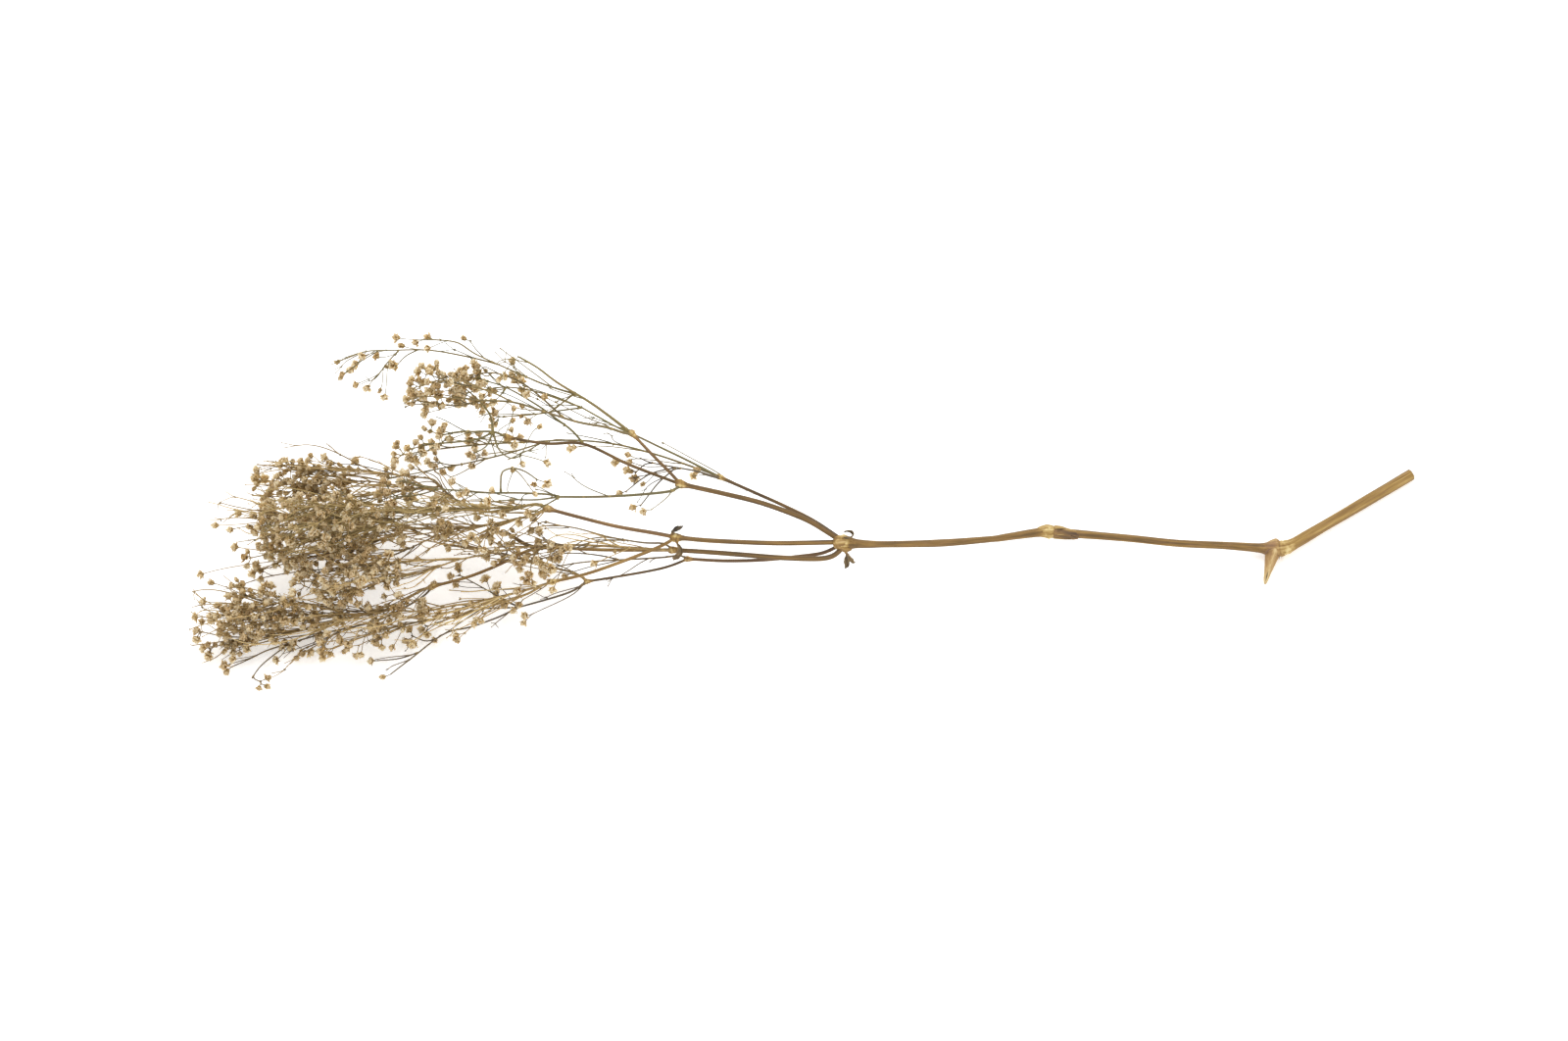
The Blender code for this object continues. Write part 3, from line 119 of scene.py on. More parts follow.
# Fine dimensions that the solids are too coarse for
FINE_STEP = 1.2
STEM_STEP = 1.6
STEM_FINE_SIDES = 28
BRANCH_FINE_SIDES = 16
TWIG_FINE_SIDES = 6
PEDICEL_SIDES = 5
FINE_TWIG_RADIUS = 0.36
FINE_PEDICEL_RADIUS = 0.21
EXTRA_SPACING = 4.4
EXTRA_TRIES = 40
RUNNER_SPACING = 3.9
# Runners that end beyond this place, towards the tips, carry more florets
HEADS_FROM = -190.0
# How much painted shade darkens a groove, for the share of the radius that it is deep
GROOVE_SHADE = 1.9
# How far a limb's closed end stands out, as a share of its radius
LIMB_TIP = 0.3
# What would stand up to the second of these past the solids' box is drawn into the first inside it
DRAWN_ROOM, DRAWN_FROM_PAST = 2.5, 1.8
# Turn between petals, in radians, and a whole turn as the phases of the patterns are drawn
GOLDEN_TURN = 2.39996
PHASES = 6.28
# How many heads of each sort are made; each is set many times, with its own turn and size
HEADS_A_SORT = 14
# Radii at the foot and tip of the threads, in millimetres
BARE_RADII, RUNNER_RADII, THREAD_RADII, FIBRE_RADII = (0.32, 0.22), (0.33, 0.22), (0.4, 0.24), (0.13, 0.04)
BUD_RISES, BUD_RADII = (0.0, 0.35, 0.75, 1.1), [0.15, 0.3, 0.27, 0.08]
BUD_CHANCE = 0.4
# Millimetres of twig for each bare thread and for each runner, where a spray has its full share
BARE_EVERY, RUNNER_EVERY = 20.0, 9.0
RUNNER_POINTS, RUNNER_AWAY = (8, 34), (2.5, 9.5)
# The ends of bare threads and of long ones: how many, how far they stray and reach, the step between their
# points, and their radii
BARE_ENDS = ((0, 2, 2, 3), 0.4, (3.0, 8.0), FINE_STEP, (0.22, 0.16))
THREAD_ENDS = ((1, 2, 2), 0.35, (4.0, 11.0), 2.0, (0.24, 0.17))

# The stage: what the camera sees across in metres and where it looks, the floor, and the lights' places,
# sizes and powers
SEEN_ACROSS, LENS, SENSOR, LOOKED_AT = 0.8, 350.0, 36.0, (-7.5, 12.0, 0.0)
FLOOR_REACH = 6.0
LIGHTS = {"soft_box_above": ((-0.3, 0.9, 1.9), 1.6, 19.0), "soft_box_side": ((1.6, -0.8, 1.5), 1.2, 7.0)}

# Thickness of the stem along its length: place and diameter, from the cut end to the main knuckle
STEM = [
    ((313.0, 35.5, 3.4), CUT_STEM_DIA), ((292.5, 23.5, 3.4), 5.9), ((267.5, 9.0, 3.9), 5.7),
    ((252.0, 0.0, 4.6), 6.4), ((246.5, -2.2, 5.0), 9.2), ((241.0, -2.6, 5.0), 8.2),
    ((236.0, -2.1, 5.1), 4.9), ((217.5, -0.8, 5.6), 4.1), ((192.5, 0.4, 6.4), STEM_DIA),
    ((167.5, 3.0, 7.4), STEM_DIA), ((144.0, 5.0, 8.3), 4.3), ((131.5, 6.0, 9.0), 4.6),
    ((127.0, 6.2, 9.2), 7.2), ((122.5, 6.0, 9.3), 4.6), ((103.0, 3.2, 10.4), 3.9),
    ((100.5, 2.8, 10.5), 3.5), ((72.5, 0.6, 12.2), 4.2), ((42.5, -0.1, 14.6), 3.5),
    ((29.5, 0.2, 15.8), 4.6), ((23.5, 0.8, 16.4), 8.4), ((18.0, 1.0, 16.6), 6.4),
]

# The dried side shoot, broken off short, that hangs from the swollen knuckle near the cut end
SPUR = [
    ((243.0, -2.6, 5.0), 7.0), ((241.0, -9.0, 4.6), 6.4), ((239.0, -16.0, 2.6), 3.8),
    ((237.5, -20.5, 1.1), 1.8),
]

# Woody branches from the main knuckle up to the knuckles that carry the sprays: diameters and places
BRANCHES = {
    "a": (2.9, 2.6, [(21, 2, 17), (12.5, 7.5, 21), (2.5, 13, 25), (-17.5, 20.5, 31), (-37.5, 25.5, 36.5),
        (-60, 30.5, 42)]),
    "a1": (2.2, 1.9, [(-60, 30.5, 42), (-69.5, 34, 43), (-87.5, 41, 46), (-109.5, 51, 50), (-127.5, 51, 53),
        (-147.5, 54, 57)]),
    "a2": (2.3, 2.0, [(-60, 30.5, 42), (-66, 37, 46), (-74, 45, 51), (-84.5, 56, 58)]),
    "b": (2.0, 1.7, [(21, 3, 17.5), (7.5, 12, 21), (-7.5, 19.5, 24), (-22, 26, 27), (-40, 34, 30)]),
    "c": (2.7, 2.4, [(20, 1, 16.8), (-7.5, 0.5, 20), (-27.5, 1, 22.5), (-47.5, 2, 25), (-62.5, 3.5, 27)]),
    "c1": (2.4, 2.0, [(-62.5, 3.5, 27), (-72.5, 5.5, 29), (-92.5, 9, 33), (-112.5, 14, 37),
        (-127.5, 18, 40)]),
    "c2": (2.1, 1.8, [(-62.5, 3.5, 27), (-70, -1, 26), (-87.5, -8, 24), (-107.5, -15, 22.5),
        (-124.5, -19, 21)]),
    "d1": (2.0, 1.7, [(21, -0.5, 16), (12.5, -4.5, 12), (2.5, -6, 10.5), (-17.5, -8, 9.5),
        (-37.5, -8.5, 9.5), (-56.5, -7.5, 10)]),
    "d1a": (1.7, 1.5, [(-56.5, -7.5, 10), (-65, -11, 9.6), (-75, -13.5, 9.2), (-95, -17, 8.6),
        (-107.5, -19, 8.2)]),
    "d2": (2.8, 2.5, [(22.5, -1, 16), (18.5, -5.5, 15), (11, -7.4, 15), (-7.5, -7, 17), (-27.5, -5.5, 18),
        (-47.5, -4, 19), (-64, -3, 20)]),
    "d2a": (2.6, 2.2, [(-64, -3, 20), (-97.5, -3, 20), (-122.5, -2, 20), (-136, -2.8, 19.5),
        (-152.5, -10.5, 18.5), (-167.5, -16.5, 17.5), (-186, -21.5, 16)]),
    "stub": (2.2, 1.9, [(-130, -2.2, 19.8), (-138, -0.5, 21.5), (-149.5, 6.5, 24)]),
}

# Knuckles that the branches end in: length along the branch and diameter
KNUCKLES = {
    "a": (5.4, 4.8), "a1": (4.4, 3.9), "a2": (4.4, 3.8), "b": (3.8, 3.1), "c": (6.0, 4.8), "c1": (5.0, 4.2),
    "c2": (3.6, 3.0), "d1": (3.8, 3.2), "d1a": (3.4, 2.8), "d2": (4.6, 4.0), "d2a": (4.2, 3.3),
}

# How a knuckle swells: places along it and radii, as shares of its length and diameter
SWELL = [(-0.5, 0.30), (-0.15, 0.5), (0.2, 0.48), (0.5, 0.26)]
SWELL_FROM = 0.6
LEAST_SWELL = 0.4

# Sprays: each has its twig routes (diameters and places) and its tufts (along, up, height, heads, spread).
# Its tone is that of its fine twigs, from 0 for pale straw through 0.5 for olive to 1 for grey-brown, and
# green says how much of their green they have kept. runners and bare say how thickly further side twigs and
# bare threads stand, and threads how many long ones pass in front of the florets.
SPRAYS = {
    "spray_a1_tip": dict(tone=0.58, green=0.7, twigs=[
        (1.4, 1.0, [(-147.5, 54, 57), (-155, 57, 58), (-165, 57, 59), (-172.5, 57, 59),
            (-180, 55.5, 58.5)]),
        (1.2, 0.9, [(-155, 57, 58), (-162, 53.5, 57.5), (-172, 52, 56), (-184, 51, 55), (-192, 50, 54)]),
        (1.1, 0.8, [(-155, 57, 58), (-156.5, 65, 60), (-161.5, 72, 61), (-170, 79.5, 61)]),
        (1.0, 0.7, [(-155, 57, 58), (-158.5, 49.5, 60), (-164, 46.5, 60)]),
        (1.0, 0.7, [(-155, 57, 58), (-152, 48, 63), (-146, 43.5, 65), (-141.5, 44.5, 65)]),
    ], tufts=[
        (-190.5, 58, 59, 3, 5), (-184, 57.5, 62, 3, 5), (-177.5, 56.5, 55, 2, 4), (-194, 51, 56, 3, 5),
        (-200, 47.5, 53, 3, 5), (-197, 44, 50, 2, 4), (-183, 50, 60, 1, 3), (-168, 51.5, 55, 1, 3),
        (-164, 46, 61, 1, 3), (-141, 43, 64, 1, 3), (-145.5, 63, 60, 1, 3), (-140.5, 64, 63, 1, 3),
        (-137, 57.5, 60, 1, 3), (-127.5, 50.5, 57, 1, 3), (-153.5, 66.5, 64, 1, 3), (-174, 79, 58, 3, 5),
        (-143.5, 50.5, 60, 1, 3),
    ]),
    "spray_a1_twig": dict(tone=0.62, green=0.8, twigs=[
        (1.2, 0.9, [(-109.5, 51, 50), (-115, 57.5, 52), (-125, 65, 55), (-133.5, 71, 57),
            (-148.5, 79.5, 59), (-162.5, 84, 60)]),
        (0.9, 0.8, [(-148.5, 79.5, 59), (-152, 75, 56)]),
    ], tufts=[
        (-166, 87, 62, 3, 5), (-171, 85, 58, 2, 4), (-154.5, 73, 54, 1, 3), (-160, 89, 56, 2, 4),
    ]),
    "spray_a2_upper": dict(tone=0.52, green=0.6, twigs=[
        (1.9, 1.3, [(-84.5, 56, 58), (-97.5, 66, 62), (-107.5, 73, 65), (-122.5, 82, 70),
            (-132.5, 89.5, 74), (-142, 95, 78)]),
        (1.3, 1.0, [(-112, 75.8, 66.2), (-127.5, 80.5, 67), (-137.5, 84.5, 69), (-146.5, 88.5, 71),
            (-154.5, 92, 72)]),
        (1.0, 0.8, [(-154.5, 92, 72), (-165, 97, 74), (-172.5, 102, 74), (-180, 103.5, 74),
            (-190, 104, 73)]),
        (1.0, 0.7, [(-153, 91.3, 71.6), (-167.5, 95, 71), (-187.5, 98.5, 70), (-207.5, 98.5, 68),
            (-220, 98, 66), (-230, 95, 64)]),
        (0.9, 0.7, [(-203, 98.5, 68.5), (-208.5, 93, 66), (-213, 87, 64), (-217, 83, 62)]),
        (0.9, 0.7, [(-114, 76.6, 66.4), (-120, 72, 58), (-127.5, 67, 50), (-140, 66, 46)]),
    ], tufts=[
        (-203.5, 106, 73, 1, 3), (-196.5, 105.5, 75, 2, 4), (-190, 105, 70, 1, 3), (-235, 92.5, 63, 2, 4),
        (-228, 93, 66, 2, 4), (-222, 94.5, 69, 1, 3), (-214.5, 95.5, 63, 1, 3), (-205, 101, 65, 1, 3),
        (-188.5, 98.5, 75, 1, 3), (-228.5, 86.5, 62, 2, 4), (-224.5, 81.5, 60, 2, 4),
        (-220, 78.5, 64, 1, 3), (-213, 78, 59, 1, 3), (-208.5, 75.8, 63, 1, 3), (-208, 88.5, 61, 3, 5),
        (-146.7, 88.8, 64, 4, 6), (-153, 85.5, 76, 2, 4), (-141.5, 65, 50, 2, 4), (-136.5, 64, 56, 1, 3),
    ]),
    "spray_a2_lower": dict(tone=0.5, green=0.4, runners=0.15, threads=14, twigs=[
        (1.6, 1.2, [(-84.5, 56, 58), (-88.5, 56.3, 61), (-97.5, 59.2, 63), (-112.5, 62, 64),
            (-130, 67.5, 66), (-145, 72, 67), (-162.5, 73, 68), (-176, 75, 68)]),
        (1.1, 0.8, [(-119, 64.2, 64.6), (-132.5, 76, 63), (-142.5, 83, 63), (-155, 87, 65),
            (-166, 86, 67)]),
        (1.0, 0.7, [(-145, 72, 67), (-158, 78, 72), (-172, 81, 76), (-182, 84, 78)]),
        (1.0, 0.7, [(-160, 73, 68), (-172, 70.5, 62), (-182, 71, 58)]),
    ], tufts=[
        (-192, 88, 74, 7, 6.5), (-187, 82, 83, 6, 6), (-197.5, 79, 74, 7, 6.5), (-198, 73.5, 65, 6, 6),
        (-187, 77, 68, 7, 6.5), (-190, 67.5, 62, 2, 4), (-179, 82, 71, 6, 6), (-172, 78, 65, 5, 5.5),
        (-166, 89, 71, 5, 5.5), (-173, 88, 79, 4, 5), (-186, 73, 54, 4, 5), (-154.5, 66.5, 61, 1, 3),
        (-177, 76, 56, 4, 5),
    ]),
    "spray_a3": dict(tone=0.66, green=0.6, twigs=[
        (1.7, 1.4, [(-60, 30.5, 42), (-64.5, 27, 44), (-82.5, 25, 47), (-102.5, 24, 50), (-121, 24, 52)]),
        (1.3, 0.9, [(-121, 24, 52), (-127.5, 25.3, 53), (-142.5, 26, 54), (-156.5, 26, 55),
            (-168.5, 27, 56), (-182.5, 28, 57), (-194, 30, 57)]),
        (1.0, 0.8, [(-121, 24, 52), (-132.5, 22.5, 55), (-142.5, 22.5, 57), (-151, 22, 58)]),
        (0.9, 0.7, [(-121, 24, 52), (-127, 20.5, 50), (-133, 17, 48)]),
        (0.9, 0.7, [(-151, 26, 54.6), (-151, 32, 58), (-150, 37, 60), (-144, 38.5, 60), (-138, 36.5, 61),
            (-133, 33, 62)]),
        (1.0, 0.7, [(-182.5, 28, 57), (-193, 25, 54), (-203, 24, 51)]),
    ], tufts=[
        (-142, 37.5, 61, 1, 3), (-133, 29.5, 62, 2, 4), (-126.5, 30.5, 63, 1, 3), (-201, 24, 49, 4, 6),
        (-169.5, 23, 59, 3, 5), (-158, 21.5, 60, 2, 4), (-137, 15.5, 46, 2, 4), (-203, 33, 57, 3, 5),
        (-212, 30, 52, 4, 6), (-208, 22, 58, 3, 5), (-185, 20.5, 57, 2, 4), (-175, 31, 60, 1, 3),
    ]),
    "spray_b_far": dict(tone=0.55, green=0.7, runners=0.0, bare=0.35, twigs=[
        (1.5, 1.2, [(-40, 34, 30), (-57.5, 43, 31.5), (-70, 49, 32.5), (-84.5, 56, 33), (-92.5, 59.5, 33.5),
            (-110.5, 69.5, 35)]),
        (1.1, 0.8, [(-110.5, 69.5, 35), (-120, 73, 35.5), (-135, 78, 36), (-150, 80, 36), (-165, 78, 35)]),
        (1.0, 0.7, [(-110.5, 69.5, 35), (-122, 68, 31), (-136, 66, 27), (-150, 65, 24)]),
    ], tufts=[
        (-144, 82, 38, 4, 5), (-163, 80, 39, 6, 6), (-174, 76, 35, 6, 6), (-158, 65, 23, 5, 6),
        (-166, 71, 29, 5, 6), (-142, 69, 19, 2, 4),
    ]),
    "spray_b_side": dict(tone=0.82, bare=0.35, twigs=[
        (1.1, 0.8, [(-40, 34, 30), (-44.5, 34.8, 34.5), (-51.5, 37, 37), (-62.5, 39, 38), (-75.5, 41.5, 38),
            (-80, 43.5, 37)]),
        (0.9, 0.7, [(-62.5, 39, 38), (-73.5, 36.5, 36), (-80, 33, 34), (-87.5, 27, 33)]),
        (0.9, 0.7, [(-62.5, 39, 38), (-71, 31.5, 39), (-76.5, 24.5, 39), (-80, 20, 38)]),
    ], tufts=[
        (-92.5, 40, 34, 1, 3), (-86.8, 34.5, 32, 4, 5.5), (-90.5, 26, 31, 2, 4), (-82.6, 19, 37, 1, 3),
        (-80, 31, 39, 1, 3),
    ]),
    "spray_c1_upper": dict(tone=0.36, green=0.45, runners=1.2, threads=58, twigs=[
        (1.7, 1.3, [(-127.5, 18, 40), (-132.5, 20.3, 42.5), (-142.5, 19, 43.5), (-162.5, 18, 45),
            (-182.5, 17, 46), (-202.5, 16.5, 47)]),
        (1.1, 0.8, [(-202.5, 16.5, 47), (-222.5, 15, 48), (-236, 12, 48), (-250, 10, 47)]),
        (1.0, 0.8, [(-196, 16.6, 46.8), (-212, 20, 50), (-228, 20, 53), (-242, 18, 54)]),
        (1.0, 0.7, [(-190, 16.8, 46.5), (-206, 12, 44), (-220, 7, 42), (-234, 3, 40)]),
    ], tufts=[
        (-186, 20, 52, 4, 5), (-216, 12, 52, 6, 6), (-232, 8, 54, 7, 7), (-245, 5, 52, 7, 7),
        (-262, 4, 46, 7, 7), (-260, 14, 52, 7, 7), (-243, 17, 58, 7, 7), (-227, 19, 59, 6, 6),
        (-238, -2, 44, 7, 7), (-274, 9, 44, 6, 6),
    ]),
    "spray_c1_middle": dict(tone=0.3, runners=1.4, threads=50, twigs=[
        (1.8, 1.4, [(-127.5, 18, 40), (-135, 14.5, 38), (-142.5, 13, 37), (-153.5, 10.5, 35),
            (-167.5, 8.5, 33), (-179, 7, 32)]),
        (1.2, 0.9, [(-179, 7, 32), (-192.5, 8, 32), (-207.5, 9, 31), (-232.5, 7, 31), (-248, 2, 31),
            (-260, -3, 32)]),
        (1.0, 0.8, [(-222, 8.2, 31), (-238, 11, 33), (-252, 12, 34), (-266, 12, 34)]),
        (0.9, 0.7, [(-150, 11.3, 35.8), (-157, 6, 38), (-160, 3, 40)]),
    ], tufts=[
        (-155.5, 6.5, 41, 5, 5.5), (-142, 12, 43, 1, 3), (-180, 8, 38, 4, 5), (-203, 3, 35, 4, 5),
        (-219, 0, 34, 6, 6), (-270, -3, 34, 7, 7), (-257, -9, 37, 7, 7), (-276, 6, 34, 7, 7),
        (-271, 15, 31, 7, 7), (-257, 20, 38, 6, 6.5), (-282, -8, 30, 3, 5), (-298.8, 4.6, 30, 1, 3),
        (-286.5, 8, 28, 2, 4), (-282.5, 15, 26, 2, 4),
    ]),
    "spray_c1_rise": dict(tone=0.36, runners=1.3, threads=44, twigs=[
        (1.4, 1.1, [(-127.5, 18, 40), (-133.5, 20, 36), (-142, 19, 34.5), (-150, 17, 34), (-163, 17, 34),
            (-178.5, 25.5, 34), (-185, 32.5, 35), (-193.5, 34, 36)]),
        (1.1, 0.8, [(-193.5, 34, 36), (-207.5, 35.5, 37), (-222, 37.5, 36), (-236, 38, 34),
            (-250, 38, 31)]),
        (1.0, 0.8, [(-182, 29.5, 34.6), (-192.5, 28, 35), (-205, 30, 33), (-220, 32, 30), (-236, 31, 26),
            (-250, 30, 22)]),
        (1.0, 0.8, [(-187, 28.8, 34.9), (-202.5, 27, 31), (-217.5, 25, 27), (-232, 23, 22),
            (-246, 22, 17)]),
    ], tufts=[
        (-243, 45, 36, 1, 3), (-252, 41, 31, 7, 7), (-264, 40, 32, 7, 7), (-250, 34, 37, 6, 6.5),
        (-278, 33, 23, 6, 6), (-266, 31, 22, 7, 7), (-262, 24, 26, 7, 7), (-252, 25, 14, 7, 7),
        (-240, 28, 30, 6, 6.5), (-238, 20, 12, 5, 6), (-272, 22, 14, 6, 6.5), (-234, 33, 22, 4, 5),
    ]),
    "spray_c2": dict(tone=0.34, runners=0.7, threads=24, twigs=[
        (1.5, 1.2, [(-124.5, -19, 21), (-137.5, -23, 19.5), (-147, -25.5, 18.5), (-160, -28.5, 17.5),
            (-165.5, -30, 17), (-175, -31, 17), (-184, -33, 17)]),
        (1.4, 1.1, [(-130, -20.8, 20.3), (-137, -25, 17.5), (-150, -29.5, 15.5), (-167.5, -35, 13.5),
            (-173, -37.5, 13)]),
        (1.1, 0.8, [(-173, -37.5, 13), (-182.5, -37.5, 13), (-197.5, -40.5, 13.5), (-210, -43.5, 14),
            (-225, -48.5, 14), (-235, -52.5, 13)]),
        (1.0, 0.7, [(-184, -33, 17), (-194, -34, 19), (-204, -33, 21)]),
    ], tufts=[
        (-188.8, -33, 21, 7, 7), (-205, -32, 24, 6, 6.5), (-203, -40, 17, 3, 5), (-214.6, -43, 17, 6, 6),
        (-214.6, -50, 13, 4, 5), (-223.2, -57.6, 12, 2, 4), (-205, -53.7, 10, 1, 3),
        (-196.5, -52.8, 8, 1, 3), (-173.5, -35.6, 19, 2, 4), (-165.8, -29.8, 22, 1, 3),
        (-232, -51, 17, 4, 5), (-243, -54, 13, 4, 5), (-220, -31, 25, 2, 4), (-144.8, -25, 23, 1, 3),
    ]),
    "spray_d1_front": dict(tone=0.74, twigs=[
        (1.4, 1.2, [(-107.5, -19, 8.2), (-114, -23.3, 7.8), (-122.5, -26.5, 8), (-142, -32, 8)]),
        (1.2, 0.8, [(-142, -32, 8), (-152.5, -37, 8), (-166.5, -42, 7.5), (-180, -45.5, 7),
            (-196, -57.5, 5.5), (-207, -66, 4.5)]),
        (0.9, 0.7, [(-193, -55, 5.8), (-202.5, -58, 5), (-213, -59, 4.5)]),
        (1.0, 0.7, [(-142, -32, 8), (-152.5, -32.5, 7.5), (-162.5, -33, 6.5), (-172.5, -36, 5.5),
            (-184, -40, 4.5)]),
        (0.9, 0.7, [(-142, -32, 8), (-150, -28, 9), (-159, -23, 10), (-170, -17, 10)]),
    ], tufts=[
        (-211.8, -67.5, 4, 2, 4), (-218, -59.5, 5, 2, 4), (-192, -43, 5, 3, 5), (-176, -14, 10, 3, 5),
        (-176.4, -20, 7, 2, 4), (-186, -19.3, 12, 2, 4), (-160, -16, 11, 2, 4), (-200, -46, 4.5, 3, 5),
        (-154, -22, 4.5, 2, 4),
    ]),
    "spray_d1_middle": dict(tone=0.42, runners=1.2, threads=40, twigs=[
        (1.3, 1.0, [(-107.5, -19, 8.2), (-113, -15, 10), (-122.5, -12.5, 10.5), (-137.5, -8.5, 11),
            (-151.5, -4.5, 12), (-167.5, -1, 13), (-180, 2, 14)]),
        (1.0, 0.8, [(-180, 2, 14), (-195, 6.5, 15), (-210, 13, 14), (-226, 15, 12), (-242, 14, 9)]),
        (1.0, 0.8, [(-192, 5.6, 14.8), (-204, 4.5, 16), (-218, 1, 17), (-234, -3, 18), (-250, -7, 19)]),
        (1.0, 0.7, [(-186, 3.8, 14.4), (-200, -3, 11), (-216, -9, 8.5), (-232, -13, 7)]),
    ], tufts=[
        (-158.2, -5.9, 15, 2, 4), (-182, 9, 18, 4, 5), (-216, 7, 20, 5, 6), (-229, 9, 10, 6, 6),
        (-244, 9, 12, 6, 6.5), (-258, 4, 14, 7, 7), (-247, -3, 24, 7, 7), (-262, -9, 19, 7, 7),
        (-234, -14, 11, 6, 6), (-249, -15, 13, 7, 7), (-274, -2, 17, 6, 6), (-286.4, -7, 14, 2, 4),
        (-298.8, -10.7, 14, 2, 4), (-277, -14, 12, 6, 6),
    ]),
    "spray_d1_side": dict(tone=0.66, twigs=[
        (1.1, 0.8, [(-56.5, -7.5, 10), (-60.5, -5.8, 13), (-67.5, -6.6, 13), (-77.5, -7.3, 12.8),
            (-91, -8, 12.8), (-107.5, -9, 13.2), (-118, -10.5, 13.6), (-126, -12, 14)]),
        (0.9, 0.7, [(-91, -8, 12.8), (-98, -6.3, 13.5), (-107.5, -5, 14), (-118, -4.5, 14)]),
    ], tufts=[
        (-126.6, -6.5, 12, 3, 5), (-132, -14, 15, 3, 5), (-126, -19, 12, 2, 4), (-134, -9, 8, 2, 4),
    ]),
    "spray_d2_thin": dict(tone=0.55, twigs=[
        (1.1, 0.9, [(-64, -3, 20), (-68.5, 0.3, 21.5), (-77.5, 0.6, 23), (-87.5, 2, 24.5), (-98, 4, 26)]),
        (0.9, 0.7, [(-98, 4, 26), (-112.5, 8, 27.5), (-121.5, 9.5, 28), (-129, 11.5, 28)]),
        (0.9, 0.7, [(-87.5, 2, 24.5), (-96, 2, 29), (-105, 0.8, 32), (-114, -1, 33.5)]),
    ], tufts=[
        (-136, 9.5, 29, 3, 5), (-133, 3.5, 30, 3, 5), (-120, -3.5, 35, 3, 5), (-146, 3, 31, 3, 5),
    ]),
    "spray_d2_middle": dict(tone=0.34, runners=1.3, threads=36, twigs=[
        (1.5, 1.2, [(-64, -3, 20), (-69, -2.8, 22.4), (-82.5, -1.9, 24), (-107.5, -0.6, 26.5),
            (-127.5, -0.5, 27), (-142, -2, 27.5), (-158, -5, 27.5), (-173.5, -8, 27)]),
        (1.1, 0.8, [(-173.5, -8, 27), (-186, -12.5, 28), (-197.5, -16, 30), (-212, -18, 31)]),
        (1.0, 0.8, [(-173.5, -8, 27), (-188, -8, 31), (-204, -9, 35), (-220, -12, 38), (-234, -15, 38)]),
        (1.0, 0.7, [(-206, -17.3, 30.6), (-220, -22, 29), (-234, -25, 26)]),
    ], tufts=[
        (-143, -10, 31, 5, 5.5), (-130, -13, 29, 5, 5.5), (-138, -19, 30, 4, 5), (-125, -19.5, 29, 2, 4),
        (-211, -9, 41, 4, 5.5), (-209, -17, 36, 5, 6), (-226, -17, 42, 7, 7), (-241, -18, 41, 7, 7),
        (-229, -26, 32, 7, 7), (-243, -27, 29, 7, 7), (-256, -20, 29, 6, 6.5), (-193, -10, 30, 2, 4),
    ]),
    "spray_d2_left": dict(tone=0.38, runners=2.0, threads=44, twigs=[
        (1.8, 1.4, [(-186, -21.5, 16), (-190, -22.8, 17.5), (-197, -26.5, 16), (-207.5, -33, 15),
            (-218, -35.5, 15), (-228, -37, 15)]),
        (1.2, 0.9, [(-228, -37, 15), (-240, -36, 15.5), (-255, -36, 16.5), (-270, -37, 17),
            (-284, -38.5, 16)]),
        (1.0, 0.8, [(-224, -36.4, 15), (-238, -33, 20), (-252, -30, 24), (-266, -30, 26), (-280, -31, 26)]),
        (1.0, 0.8, [(-228, -37, 15), (-242, -41, 11), (-256, -44, 8), (-270, -46, 6.5), (-284, -48, 6)]),
    ], tufts=[
        (-304.5, -29, 22, 1, 3), (-307, -36, 19, 2, 4), (-307, -44, 14, 5, 5.5), (-302, -53.5, 6, 5, 5.5),
        (-297, -36, 25, 6, 6), (-289, -32, 31, 6, 6), (-293, -43, 19, 7, 7), (-292, -51, 9, 6, 6),
        (-278, -36, 29, 7, 7), (-278, -43, 19, 7, 7), (-265, -37, 24, 7, 7), (-268, -45, 10, 6, 6.5),
        (-259, -31, 31, 6, 6.5), (-251, -40, 17, 5, 6), (-284, -50, 5, 3, 5), (-246, -45, 7, 3, 5),
        (-286, -20, 30, 2, 4), (-294, -19.3, 26, 2, 4), (-273, -22, 30, 5, 6),
    ]),
    "spray_d2_front": dict(tone=0.66, threads=8, twigs=[
        (1.2, 1.0, [(-186, -21.5, 16), (-189.5, -25.5, 12.8), (-198, -31, 10.5), (-212, -38, 8),
            (-226, -42, 6.5), (-240, -45, 5.5), (-257.5, -50, 4.5)]),
        (0.9, 0.7, [(-257.5, -50, 4.5), (-270, -54, 4), (-278, -58, 3.8), (-287, -62, 3.6)]),
        (0.9, 0.7, [(-257.5, -50, 4.5), (-266, -56, 3.8), (-273, -62, 3.6), (-276.5, -67, 3.6)]),
        (0.9, 0.7, [(-232, -43.4, 6.1), (-240, -48.5, 5), (-250, -52.5, 4.2)]),
    ], tufts=[
        (-291, -64.5, 4.2, 2, 4), (-270.5, -72, 4.2, 3, 4.5), (-265.3, -58.5, 5, 2, 4),
        (-254.5, -53.5, 8, 4, 5.5), (-288, -56, 5, 2, 4), (-243, -57, 5, 2, 4),
    ]),
    "spray_back": dict(tone=0.55, green=0.5, runners=0.4, bare=0.35, twigs=[
        (1.4, 1.1, [(-22, 26, 27), (-27, 28, 23.5), (-38, 33.5, 22), (-56, 40, 20), (-74, 46, 18),
            (-94, 51, 16), (-116, 53, 12), (-140, 52, 9)]),
        (1.1, 0.8, [(-140, 52, 9), (-160, 51, 7), (-180, 49, 5.5), (-200, 46, 5)]),
